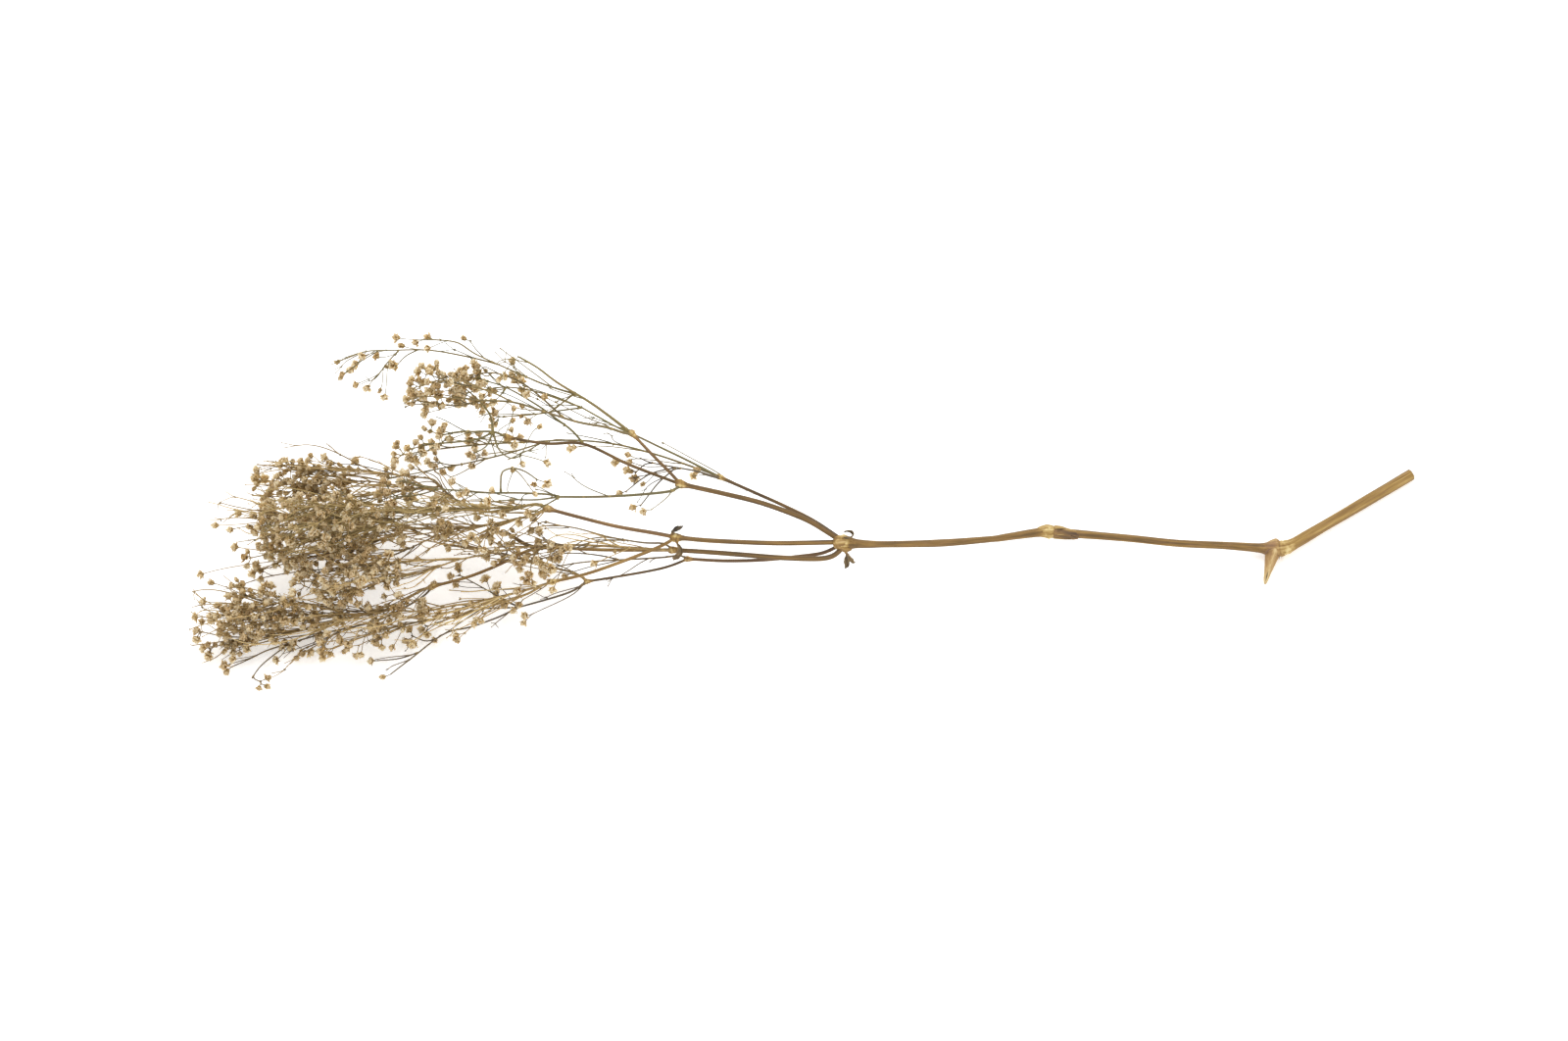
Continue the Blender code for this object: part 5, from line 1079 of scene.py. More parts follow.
def add_joint(piece, spot, direction, radius, draw, tone, leafy=0.6):
    """A swollen node on a twig, that may have its pair of little bracts."""
    half = 0.7 + radius * 1.4
    points = np.array([spot + direction * half * share for share in (-1, -0.5, 0, 0.5, 1)])
    radii = radius * np.array([0.9, 1.12, 1.32, 1.2, 0.88])
    pale = tone * draw.uniform(0.5, 0.85)
    shades = np.array([tone, pale, pale * 0.8, pale, tone])
    piece.add(limb(points, radii, TWIG_FINE_SIDES, shades), 0)
    if draw.random() > leafy:
        return
    side, other = across_axes(direction)
    turn = draw.uniform(0, math.pi)
    for pair in (0, math.pi):
        out = turned(side, other, turn + pair)
        aim = unit(direction * draw.uniform(0.7, 1.3) + out * draw.uniform(0.3, 0.8))
        foot = spot + out * radius * 0.8
        scale = bract(draw.uniform(0.9, 1.7), draw.uniform(0.35, 0.6) + radius * 0.4)
        piece.add(posed(scale, foot, aim, draw.uniform(0, PHASES), 1.0), 0, draw.uniform(0.4, 1.0))


def add_bud(piece, spot, aim, tone):
    """A closed bud, or what is left of one, at the end of a thread."""
    points = np.array([spot + aim * rise for rise in BUD_RISES])
    piece.add(limb(points, BUD_RADII, PEDICEL_SIDES, tone), 0)


def bend(start, leave, stop, arrive, spacing):
    """Points of a curve that leaves one way and arrives another."""
    length = np.linalg.norm(stop - start)
    first, second = start + leave * length * 0.33, stop - arrive * length * 0.33
    steps = max(3, round(length / spacing) + 1)
    t = np.linspace(0, 1, steps)[:, None]
    return (1 - t) ** 3 * start + 3 * (1 - t) ** 2 * t * first + 3 * (1 - t) * t**2 * second + t**3 * stop


def nearest_on(curves, spot):
    """The nearest point of several curves, its direction there and the radius."""
    best = None
    for points, radii in curves:
        apart = np.linalg.norm(points - spot, axis=1)
        k = int(np.argmin(apart))
        if best is None or apart[k] < best[0]:
            ahead = unit(points[min(k + 1, len(points) - 1)] - points[max(k - 1, 0)])
            best = (apart[k], points[k], ahead, radii[k])
    return best[1:]


def fine_twigs(spray):
    """The spray's twigs as fine curves with their radii, each rooted on an earlier one."""
    made = []
    for i, (thick, thin, places) in enumerate(spray["twigs"]):
        points = traced(places, FINE_STEP)
        radii = 0.5 * np.linspace(thick, thin, len(points)) ** 0.8
        radii = radii * np.linspace(1.05, 0.85, len(points))
        if i > 0:
            root, _, root_radius = nearest_on(made, points[0])
            pull = np.exp(-stations_of(points) / 8.0)[:, None]
            points = points + (root - points[0]) * pull
            radii = np.minimum(radii, root_radius)
        made.append((points, radii))
    return made


def extra_heads(taken, node_box, root, axis, spec, count, draw):
    """Further places for florets in a tuft, each clear of the heads there are."""
    spread = spec[4]
    found = []
    for _ in range(count):
        for attempt in range(EXTRA_TRIES):
            loose = 0.55 + 0.02 * attempt
            outward = strayed(axis, loose, draw)
            length = spread * draw.uniform(0.75, 1.35)
            base = root + outward * max(length - HEAD_LENGTH * HEAD_MIDDLE, 2.2)
            aim = strayed(outward, 0.2, draw)
            middle = base + aim * HEAD_LENGTH * HEAD_MIDDLE
            apart = np.min(np.linalg.norm(np.array(taken) - middle, axis=1))
            if inside_box(middle, node_box, 2.5) and apart > EXTRA_SPACING:
                taken.append(middle)
                found.append((base, aim))
                break
    return found


def add_head(piece, store, base, aim, draw, size=1.0):
    """One floret: its calyx and petals in one of the sorts."""
    kind = draw.choices(list(SORTS), SORT_SHARES)[0]
    petals, cup = draw.choice(store[kind])
    spin, size = draw.uniform(0, 2 * math.pi), size * draw.uniform(0.8, 1.05)
    age = SORTS[kind][5] + draw.gauss(0, 0.26)
    piece.add(posed(petals, base, aim, spin, size), 1, clamped(age))
    piece.add(posed(cup, base, aim, spin, size), 2, clamped(0.45 + draw.gauss(0, 0.25)))


def add_pedicel(piece, start, leave, base, aim, tone):
    """The thread that carries a floret, a little thicker under it."""
    points = bend(start, leave, base + aim * 0.25, aim, 1.5)
    radii = np.full(len(points), FINE_PEDICEL_RADIUS)
    radii[-1] *= 1.5
    piece.add(limb(points, radii, PEDICEL_SIDES, tone), 0)


def paired(heads, fork):
    """The heads of a tuft in twos, each with the one that lies nearest in direction."""
    left = list(heads)
    pairs = []
    while left:
        first = left.pop(0)
        way = unit(first[0] - fork)
        if left:
            k = max(range(len(left)), key=lambda i: np.dot(unit(left[i][0] - fork), way))
            if np.dot(unit(left[k][0] - fork), way) > 0.35:
                pairs.append((first, left.pop(k)))
                continue
        pairs.append((first,))
    return pairs


def dress_tuft(piece, store, fine, grown, extra, tone, draw):
    """Twig, forks, pedicels and florets of one tuft."""
    line, fork, axis, heads = grown
    if line is None:
        root, ahead, _ = nearest_on(fine, fork)
        add_joint(piece, root, ahead, FINE_TWIG_RADIUS * 0.8, draw, tone)
        for base, aim in heads:
            add_pedicel(piece, root, unit(ahead * 0.5 + unit(base - root)), base, aim, tone)
            add_head(piece, store, base, aim, draw)
        return
    root, ahead, _ = nearest_on(fine, line[0])
    points = smooth(np.array([root, line[1], line[2]]), FINE_STEP)
    radii = np.linspace(FINE_TWIG_RADIUS * 1.15, FINE_TWIG_RADIUS * 0.75, len(points))
    piece.add(limb(points, radii, TWIG_FINE_SIDES, tone), 0)
    add_joint(piece, root, ahead, FINE_TWIG_RADIUS * 1.1, draw, tone)
    add_joint(piece, fork, unit(line[2] - line[1]), FINE_TWIG_RADIUS * 0.95, draw, tone)
    for group in paired(heads + extra, fork):
        if len(group) == 1:
            base, aim = group[0]
            add_pedicel(piece, fork, unit(axis * 0.5 + unit(base - fork)), base, aim, tone)
        else:
            middle = (group[0][0] + group[1][0]) / 2
            split = fork + (middle - fork) * draw.uniform(0.35, 0.55)
            way = unit(split - fork)
            stalk = bend(fork, unit(axis * 0.5 + way), split, way, FINE_STEP)
            radii = np.full(len(stalk), FINE_PEDICEL_RADIUS * 1.15)
            piece.add(limb(stalk, radii, PEDICEL_SIDES, tone), 0)
            add_joint(piece, split, way, FINE_PEDICEL_RADIUS * 1.1, draw, tone, 0.3)
            for base, aim in group:
                add_pedicel(piece, split, unit(way * 0.6 + unit(base - split)), base, aim, tone)
        for base, aim in group:
            add_head(piece, store, base, aim, draw)


def inside_box(spot, box, margin):
    return np.all(spot - margin > box[0]) and np.all(spot + margin < box[1])


def add_ends(piece, node_box, spot, way, shade, draw, ends):
    """The thin ends that a thread without florets forks into, some of them with a bud."""
    counts, loose, reach, step, radii = ends
    for _ in range(draw.choice(counts)):
        aim = strayed(way, loose, draw)
        stop = spot + aim * draw.uniform(*reach)
        if inside_box(stop, node_box, 1.0):
            piece.add_thread(bend(spot, way, stop, aim, step), radii, shade)
            if draw.random() < BUD_CHANCE:
                add_bud(piece, stop, aim, shade)


def add_bare_twigs(piece, fine, node_box, share, tone, draw):
    """Threads that have lost their florets, forking off the twigs here and there."""
    for points, radii in fine:
        length = stations_of(points)[-1]
        for _ in range(round(length / BARE_EVERY * share)):
            k = draw.randrange(2, len(points) - 1)
            root, ahead = points[k], unit(points[k + 1] - points[k - 1])
            out = sideways(ahead, draw)
            way = unit(ahead + out * draw.uniform(0.2, 0.6))
            tip = root + way * draw.uniform(8.0, 24.0)
            if not inside_box(tip, node_box, 1.5):
                continue
            arrive = strayed(way, 0.35, draw)
            thread = bend(root, unit(ahead + 0.4 * out), tip, arrive, FINE_STEP)
            shade = min(1.0, tone + draw.uniform(-0.1, 0.35))
            piece.add_thread(thread, BARE_RADII, shade)
            add_joint(piece, root, ahead, radii[k] * 0.85, draw, tone)
            add_ends(piece, node_box, tip, arrive, shade, draw, BARE_ENDS)
            add_joint(piece, tip, arrive, 0.2, draw, shade, 0.4)


def add_runners(piece, store, fine, node_box, middles, density, tone, draw):
    """Thin side twigs that run on beside the main ones and carry further florets."""
    for points, radii in fine:
        length = stations_of(points)[-1]
        for _ in range(round(length / RUNNER_EVERY * density)):
            k = draw.randrange(1, max(2, len(points) - 8))
            steps = min(len(points) - 1 - k, draw.randrange(*RUNNER_POINTS))
            if steps < 6:
                continue
            path = points[k : k + steps + 1 : 2].copy()
            ahead = unit(path[-1] - path[0])
            side, other = across_axes(ahead)
            turn = draw.uniform(0, 2 * math.pi)
            out = math.cos(turn) * side + 0.7 * math.sin(turn) * other
            share = np.linspace(0, 1, len(path))[:, None]
            wave = np.sin(share * draw.uniform(2, 7) + turn) * draw.uniform(0.2, 0.9) * share
            path = path + out * (draw.uniform(*RUNNER_AWAY) * share**0.8) + other * wave
            tip, arrive = path[-1], unit(path[-1] - path[-3])
            if not inside_box(tip, node_box, 2.0) or path[:, 2].min() < 0.6:
                continue
            shade = clamped(tone + draw.gauss(0.05, 0.14))
            piece.add_thread(path, RUNNER_RADII, shade)
            add_joint(piece, path[0], ahead, radii[k] * 0.85, draw, tone)
            add_joint(piece, tip, arrive, 0.26, draw, shade, 0.5)
            outer = tip[0] < HEADS_FROM
            for _ in range(draw.choice((1, 2, 2, 3, 4) if outer else (0, 0, 1, 1, 2))):
                for attempt in range(EXTRA_TRIES):
                    loose = 0.35 + 0.02 * attempt
                    aim = strayed(arrive, loose, draw)
                    base = tip + aim * draw.uniform(2.2, 6.5)
                    middle = base + aim * HEAD_LENGTH * HEAD_MIDDLE
                    apart = np.min(np.linalg.norm(np.array(middles) - middle, axis=1))
                    if apart > RUNNER_SPACING and inside_box(middle, node_box, 2.6):
                        middles.append(middle)
                        add_pedicel(piece, tip, unit(arrive + aim), base, aim, shade)
                        add_head(piece, store, base, aim, draw, 0.92)
                        break


def add_threads(piece, fine, node_box, count, tone, draw):
    """Long thin side twigs that pass in front of the florets of a thick spray."""
    for _ in range(count):
        points, radii = draw.choice(fine)
        k = draw.randrange(len(points) // 6 + 2, len(points) - 3)
        root, ahead = points[k], unit(points[k + 2] - points[k - 2])
        lift = np.array([draw.gauss(0, 1.5), draw.gauss(-2.0, 8.0), draw.uniform(2.0, 14.0)])
        tip = root + ahead * draw.uniform(18.0, 60.0) + lift
        arrive = unit(ahead + 0.03 * lift + np.array([0.0, draw.gauss(0, 0.35), draw.gauss(-0.1, 0.25)]))
        if not inside_box(tip, node_box, 1.5):
            continue
        thread = bend(root, unit(ahead + 0.04 * lift), tip, arrive, 2.2)
        shade = clamped(tone + draw.uniform(-0.3, 0.1))
        piece.add_thread(thread, THREAD_RADII, shade)
        add_joint(piece, root, ahead, radii[k] * 0.85, draw, tone)
        forks = [(tip, arrive)]
        if len(thread) > 12:
            middle = draw.randrange(6, len(thread) - 4)
            forks.append((thread[middle], unit(thread[middle + 1] - thread[middle - 1])))
        for spot, way in forks:
            add_joint(piece, spot, way, 0.24, draw, shade, 0.8)
            add_ends(piece, node_box, spot, way, shade, draw, THREAD_ENDS)


def ridges(draw, strength):
    """Wrinkles that run along a dried stem and wander slowly round it."""
    waves = []
    for number in (3, 5, 8, 12, 17):
        waves.append((number, draw.uniform(0, PHASES), draw.uniform(-0.01, 0.01), draw.uniform(0.02, 0.09)))

    def relief(turn, along):
        total = 0.0
        for number, phase, drift, swell in waves:
            depth = strength / number**0.35 * (1 + 0.6 * np.sin(along * swell + phase * 3))
            total = total + depth * np.cos(number * turn + phase + number * drift * along)
        return total

    return relief


def settled(values):
    """The values with their corners taken off and both ends kept."""
    for _ in range(2):
        values[1:-1] = 0.25 * values[:-2] + 0.5 * values[1:-1] + 0.25 * values[2:]
    return values


def refined(points, radii, centres, reach):
    """The same line with close stations beside the knuckles, where the detail is."""
    along = stations_of(points)
    near = np.zeros(len(points), dtype=bool)
    for centre in centres:
        near |= np.linalg.norm(points - centre, axis=1) < reach
    marks = []
    for k in range(len(points) - 1):
        steps = 4 if near[k] or near[k + 1] else 1
        marks.extend(np.linspace(along[k], along[k + 1], steps, endpoint=False))
    marks = np.array(marks + [along[-1]])
    spots = np.stack([np.interp(marks, along, points[:, axis]) for axis in range(3)], axis=-1)
    return settled(spots), np.interp(marks, along, radii)


def pale_near(points, centres, reach):
    """1 beside a knuckle, falling to 0 away from it."""
    apart = np.min([np.linalg.norm(points - centre, axis=1) for centre in centres], axis=0)
    return np.exp(-((apart / reach) ** 2))


def stem_curve():
    """The stem's fine points, radii and tones, from the cut end to the main knuckle."""
    spots = placed(spot for spot, _ in STEM)
    points = evened(smooth(spots, 1.0), STEM_STEP)
    marks = [stations_of(points)[np.argmin(np.linalg.norm(points - spot, axis=1))] for spot in spots]
    return points, settled(np.interp(stations_of(points), marks, [dia / 2 for _, dia in STEM]))


def add_fibres(piece, centre, direction, radius, count, length, draw, tone):
    """Torn threads that stand out round a cut or a scar."""
    for _ in range(count):
        out = sideways(direction, draw)
        start = centre + out * radius * draw.uniform(0.75, 1.0) - direction * 0.4
        way = unit(direction + out * draw.uniform(0.1, 0.9))
        stop = start + way * length * draw.uniform(0.5, 1.0)
        piece.add_thread(bend(start, direction, stop, unit(way + out * 0.6), 0.6), FIBRE_RADII, tone, 4)


def add_lobe(piece, spots, radii, tone, draw, stain=0.0):
    """A swelling of a knuckle, such as the foot of a leaf or the scar of one."""
    line = traced(spots, 0.3, 0.5)
    first, last = unit(line[0] - line[1]) * radii[0], unit(line[-1] - line[-2]) * radii[-1]
    caps = np.sin(np.linspace(0, math.pi / 2, 5))[1:]
    line = np.vstack([[line[0] + first * s for s in caps[::-1]], line, [line[-1] + last * s for s in caps]])
    share = stations_of(line) / stations_of(line)[-1]
    girth = np.interp(share, np.linspace(0, 1, len(radii)), radii)
    dome = np.sqrt(np.maximum(1 - caps**2, 0.01))
    girth[: len(caps)] *= dome[::-1]
    girth[-len(caps) :] *= dome
    piece.add(limb(line, girth, 16, tone, ridges(draw, 0.04)), 0, None, stain)


# Feet of the leaves and scars on the knuckles: places, radii in millimetres, tone and pinkness
LOBES = [
    ([(20.2, 0.2, 17.3), (23.4, 0.6, 17.0)], [2.9, 3.1], 0.27, 0.1),
    ([(22.0, -1.6, 16.4), (24.0, -2.6, 15.6), (26.5, -2.4, 14.8)], [2.0, 1.9, 0.7], 0.3, 0.0),
    ([(23.6, -3.4, 15.2), (24.5, -5.2, 13.4)], [1.1, 0.5], 0.5, 0.0),
    ([(21.6, 2.0, 18.6), (22.8, 3.2, 20.4)], [1.4, 0.5], 0.3, 0.1),
    ([(-63.4, 3.6, 27.6), (-64.2, 5.2, 29.6), (-64.4, 5.9, 30.4)], [1.2, 0.8, 0.4], 0.5, 0.0),
    ([(-62.2, 1.8, 26.6), (-61.7, 0.6, 26.2)], [1.1, 0.6], 0.4, 0.0),
    ([(236.8, -0.9, 5.2), (239.6, -0.5, 5.3), (242.6, 0.6, 5.4)], [1.2, 2.2, 2.5], 0.24, 0.3),
    ([(244.4, -4.6, 5.4), (246.2, -4.6, 5.0)], [1.6, 1.7], 0.3, 0.1),
    ([(122.6, 6.5, 9.1), (125.6, 6.6, 9.2), (128.4, 6.3, 9.2)], [1.9, 3.5, 3.2], 0.2, 0.0),
]


def lumps(draw, relief, centres, points, strength, seams=()):
    """The wrinkles, with bumps where the limb passes a knuckle and a seam where the leaves' feet met."""
    near = pale_near(points, centres, 3.4)
    phases = [draw.uniform(0, PHASES) for _ in range(6)]
    along_all = stations_of(points)
    seam_marks = [along_all[np.argmin(np.linalg.norm(points - seam, axis=1))] for seam in seams]

    def bumpy(turn, along):
        swell = np.interp(along, along_all, near)
        bumps = np.sin(along * 1.9 + phases[0]) * np.cos(2 * turn + phases[1])
        bumps = bumps + 0.7 * np.cos(3 * turn + along * 0.8 + phases[2])
        bumps = bumps + 0.5 * np.sin(along * 3.4 + phases[3]) * np.cos(5 * turn + phases[4])
        total = relief(turn, along) * (1 + swell) + strength * swell * bumps
        for mark in seam_marks:
            past = along - mark - 0.35 * np.cos(turn + phases[5]) - 0.15 * np.sin(3 * turn + phases[0])
            lip = 0.03 * np.exp(-(((past - 1.0) / 0.8) ** 2))
            total = total - 0.1 * np.exp(-((past / 0.35) ** 2)) + lip
        return total

    return bumpy


def add_cut_face(piece, centre, direction, radius, draw):
    """The slanted cut: skin, a ring of wood and a sunk, spongy pith."""
    side, other = across_axes(direction)
    columns = 32
    turn = 2 * math.pi * np.arange(columns) / columns
    arms = np.cos(turn)[:, None] * side + np.sin(turn)[:, None] * other
    grid, tones = [], []
    for share, lift, tone in (
        (1.0, 0.0, 0.45), (0.93, 0.12, 0.25), (0.8, 0.16, 0.12), (0.62, 0.1, 0.2), (0.5, -0.12, 0.3),
        (0.3, -0.35, 0.42), (0.12, -0.5, 0.6),
    ):
        rough = np.array([draw.gauss(0, 0.05) for _ in turn])
        grid.append(centre + arms * radius * share + (lift + rough)[:, None] * direction)
        tones.append(np.full(columns, tone))
    corners = np.array(grid).reshape(-1, 3)
    marks = (corners - centre) @ np.array([side, other, direction]).T
    faces = grid_faces(len(grid), columns, True)
    piece.add((corners, faces, marks, np.concatenate(tones), np.zeros(len(corners))), 0)


def add_shreds(piece, points, radii, first, last, draw):
    """Torn strips of old sheath that still cling along a stretch of the stem."""
    tangents, sides = carried_sides(points)
    others = np.cross(tangents, sides)
    for _ in range(30):
        k = draw.randrange(first, last)
        count = draw.randrange(6, 14)
        if k + count >= len(points):
            continue
        turn = draw.uniform(0, 2 * math.pi)
        width, drift = draw.uniform(0.05, 0.13), draw.gauss(0, 0.04)
        grid, marks = np.zeros((count, 3, 3)), np.zeros((count, 3, 3))
        for i in range(count):
            share = i / (count - 1)
            lift = 1.07 + 0.09 * share**3 + draw.gauss(0, 0.01)
            for j in range(3):
                angle = turn + drift * i + (j - 1) * width * (1 - 0.7 * share)
                arm = turned(sides[k + i], others[k + i], angle)
                grid[i, j] = points[k + i] + arm * radii[k + i] * lift
                marks[i, j] = (angle * 2, lift, share * 4)
        shape = sheet(grid, marks, np.zeros((count, 3)), np.zeros((count, 3)))
        piece.add(shape, 0, draw.choice((0.15, 0.4, 0.7, 0.9)))


def add_branch(piece, key, centres, draw):
    """One woody branch with the swollen knuckle that it ends in."""
    thick, thin, places = BRANCHES[key]
    line = traced(places, STEM_STEP)
    radii = np.linspace(thick / 2, thin / 2, len(line)) * BRANCH_SHRINK.get(key, 0.95)
    if key in KNUCKLES:
        length, diameter = KNUCKLES[key]
        end, ahead = line[-1], unit(line[-1] - line[-2])
        line = np.vstack([line, [end + ahead * length * s for s in (0.12, 0.24, 0.34, 0.42, 0.47)]])
        radii = np.concatenate([radii, np.full(5, radii[-1])])
        apart = (line - end) @ ahead / length
        swell = np.interp(apart, [-0.9, -0.5, -0.2, 0.1, 0.35, 0.5], [0, 0.25, 0.8, 1, 0.7, 0.2])
        near = np.linalg.norm(line - end, axis=1) < length
        radii = np.where(near, radii + (diameter / 2 - radii) * swell, radii)
    line, radii = refined(line, radii, centres, 3.6)
    tone = BRANCH_TONES.get(key, BRANCH_TONES[key[0]])
    tones = np.full(len(line), tone) * (1 - 0.72 * pale_near(line, centres, 2.6))
    seams = [place(*places[-1])] if key in KNUCKLES else []
    relief = lumps(draw, ridges(draw, 0.035), centres, line, 0.06, seams)
    piece.add(limb(line, radii, BRANCH_FINE_SIDES, tones, relief), 0, None, BRANCH_STAINS.get(key, 0.0))


# Swollen knuckles of the stem, and their sizes in millimetres
STEM_KNUCKLES = [((247.5, -2.0, 5.0), 4.2), ((127.0, 6.2, 9.2), 3.0), ((22.5, 0.9, 16.4), 4.6)]
# The broken shoot, the fold in its axil with its dark thread of painted shade, and the torn sheath of the
# middle knuckle with its crack, a dark ring of painted shade
SPUR_SPOTS = [
    (244.2, -0.4, 3.8), (242.6, -2.6, 4.8), (240.8, -6.4, 5.0), (239.6, -10.8, 4.2), (238.4, -15.2, 2.9),
    (237.6, -18.6, 1.8), (237.2, -20.4, 1.2),
]
FOLD_SHADE_SPOTS = [(237.3, -5.6, 7.9), (238.2, -3.9, 8.7), (239.8, -2.6, 9.5), (241.8, -2.0, 10.2)]
SLEEVE_SPOTS = [(129.6, 6.2, 9.3), (132.5, 5.9, 9.3), (136.0, 5.2, 9.0), (139.5, 4.8, 8.6), (142.5, 4.5, 8.4)]
CRACK_SHADE_SPOTS = [(129.2, 6.3, 9.2), (129.8, 6.2, 9.2)]

# Tones of the woody branches, from 0 pale to 1 dark, and how pink the skin of some is
BRANCH_TONES = {
    "a": 0.62, "a1": 0.65, "b": 0.7, "c": 0.55, "c1": 0.58, "c2": 0.43, "d": 0.62, "d1": 0.7, "d1a": 0.75,
    "d2a": 0.46, "s": 0.62,
}
BRANCH_STAINS = {"c1": 0.16, "a2": 0.1, "d1": 0.15}
# What is left of a branch's thickness after drying
BRANCH_SHRINK = {"a1": 0.75, "a2": 0.78, "c1": 0.86, "c2": 0.84, "d1a": 0.8, "d2a": 0.7}


def make_stem(finishes):
    """The woody stem, its knuckles, broken shoot and branches as one fine piece."""
    draw = random.Random(f"{SEED} fine stem")
    piece = Piece(0.0)
    centres = [place(*spot) for spot, _ in STEM_KNUCKLES]
    centres += [place(*BRANCHES[key][2][-1]) for key in KNUCKLES]
    points, radii = refined(*stem_curve(), centres[:3], 7.0)
    share = (313.0 - points[:, 0]) / 290.0
    tone = np.interp(share, [0, 0.2, 0.27, 0.6, 1.0], [0.36, 0.36, 0.46, 0.5, 0.5])
    tone = tone * (1 - 0.62 * pale_near(points, centres[:2], 4.5))
    tone = tone * (1 - 0.7 * pale_near(points, centres[2:3], 3.0))
    # The stem has shrunk between its knuckles
    radii = radii * np.interp(
        points[:, 0], [30, 45, 108, 118, 144, 152, 228, 236, 242, 245, 249, 256],
        [1, 0.93, 0.93, 1, 1, 0.94, 0.94, 1, 0.98, 0.87, 0.87, 0.98],
    )
    relief = lumps(draw, ridges(draw, 0.03), centres, points, 0.05, [place(244.2, -1.6, 5.0)])
    pink = 0.4 * pale_near(points, [place(241.0, -1.0, 5.0)], 4.0)
    pink = np.concatenate([np.repeat(pink, STEM_FINE_SIDES), [0.0, 0.0]])
    piece.add(limb(points, radii, STEM_FINE_SIDES, tone, relief), 0, None, pink)
    add_cut_face(piece, points[0], unit(points[0] - points[1]), radii[0], draw)
    # The broken side shoot swells out of its knuckle, pinkish at its foot and pale at its split tip
    spur = traced(SPUR_SPOTS, 0.6, 0.6)
    along = np.linspace(0, 1, len(spur))
    spur_radii = np.interp(
        along, [0, 0.15, 0.35, 0.55, 0.75, 0.92, 1.0], [2.6, 3.8, 3.6, 2.7, 1.8, 1.15, 0.5],
    )
    spur_tone = np.interp(along, [0, 0.3, 0.5, 0.7, 1.0], [0.2, 0.3, 0.22, 0.08, 0.02])
    wrinkled = lumps(draw, ridges(draw, 0.045), [spur[len(spur) // 4]], spur, 0.05)
    piece.add(limb(spur, spur_radii, 24, spur_tone, wrinkled), 0, None, 0.3)
    # The split in its tip is a dark thread laid on the side that faces the camera: painted shade in the split
    view = np.array([0.0, -math.cos(VIEW_RISE), math.sin(VIEW_RISE)])
    shaded_slit_rows = range(int(0.7 * len(spur)), int(0.93 * len(spur)))
    split = np.array([spur[k] + view * spur_radii[k] * 0.96 for k in shaded_slit_rows])
    split[:, 0] += np.array([draw.gauss(0.1, 0.08) for _ in split])
    piece.add(limb(split, 0.2 * np.sin(np.linspace(0.15, 3.0, len(split))) + 0.03, 6, 0.95), 0)
    # The shoot's axil is folded, with a dark thread laid in the fold as painted shade
    fold = smooth(placed(FOLD_SHADE_SPOTS), 0.7)
    girth = np.interp(np.linspace(0, 1, len(fold)), [0, 0.25, 0.6, 1], [0.2, 0.42, 0.25, 0.05])
    piece.add(limb(fold, girth, 8, 0.85), 0, None, 0.4)
    # The middle knuckle keeps the torn, wrinkled sheath of its leaves on the side of the cut end
    sleeve = traced(SLEEVE_SPOTS, 0.45, 1.0)
    cover = np.linspace(0, 1, len(sleeve))
    girth = np.interp(cover, [0, 0.05, 0.3, 0.6, 0.85, 1], [2.6, 3.2, 3.1, 2.6, 2.3, 1.8])
    piece.add(limb(sleeve, girth, STEM_FINE_SIDES, 0.4 + 0.2 * cover, ridges(draw, 0.1)), 0, None, 0.1)
    add_shreds(piece, sleeve, girth, 1, len(sleeve) - 6, draw)
    # A dark ring at the sheath's torn edge is painted shade in its crack
    piece.add(limb(placed(CRACK_SHADE_SPOTS), [2.95, 2.95], 20, 0.95), 0)
    for key in BRANCHES:
        add_branch(piece, key, centres, draw)
    for spots, radii_of, tone_of, stain in LOBES:
        add_lobe(piece, spots, radii_of, tone_of, draw, stain)
    for centre, (_, size) in zip(centres, STEM_KNUCKLES):
        spot, ahead, radius = nearest_on([(points, radii)], centre)
        add_fibres(piece, spot, ahead, radius, 4, size * 0.4, draw, 0.5)
    for key, (_, diameter) in KNUCKLES.items():
        before, end = placed(BRANCHES[key][2][-2:])
        add_fibres(piece, end, unit(end - before), diameter * 0.48, 3, 1.3, draw, 0.5)
    add_fibres(piece, place(245.6, -5.6, 4.5), np.array([0.5, -0.8, 0.2]), 1.2, 4, 3.0, draw, 0.6)
    add_fibres(piece, points[0], unit(points[1] - points[0]), radii[0], 3, 1.0, draw, 0.4)
    return piece.made("wood_stem", finishes)


# The ring has shrunk towards the knuckle: the line it shrank to and its share
RING_FOOT, RING_SHARE = 3.4, 0.72


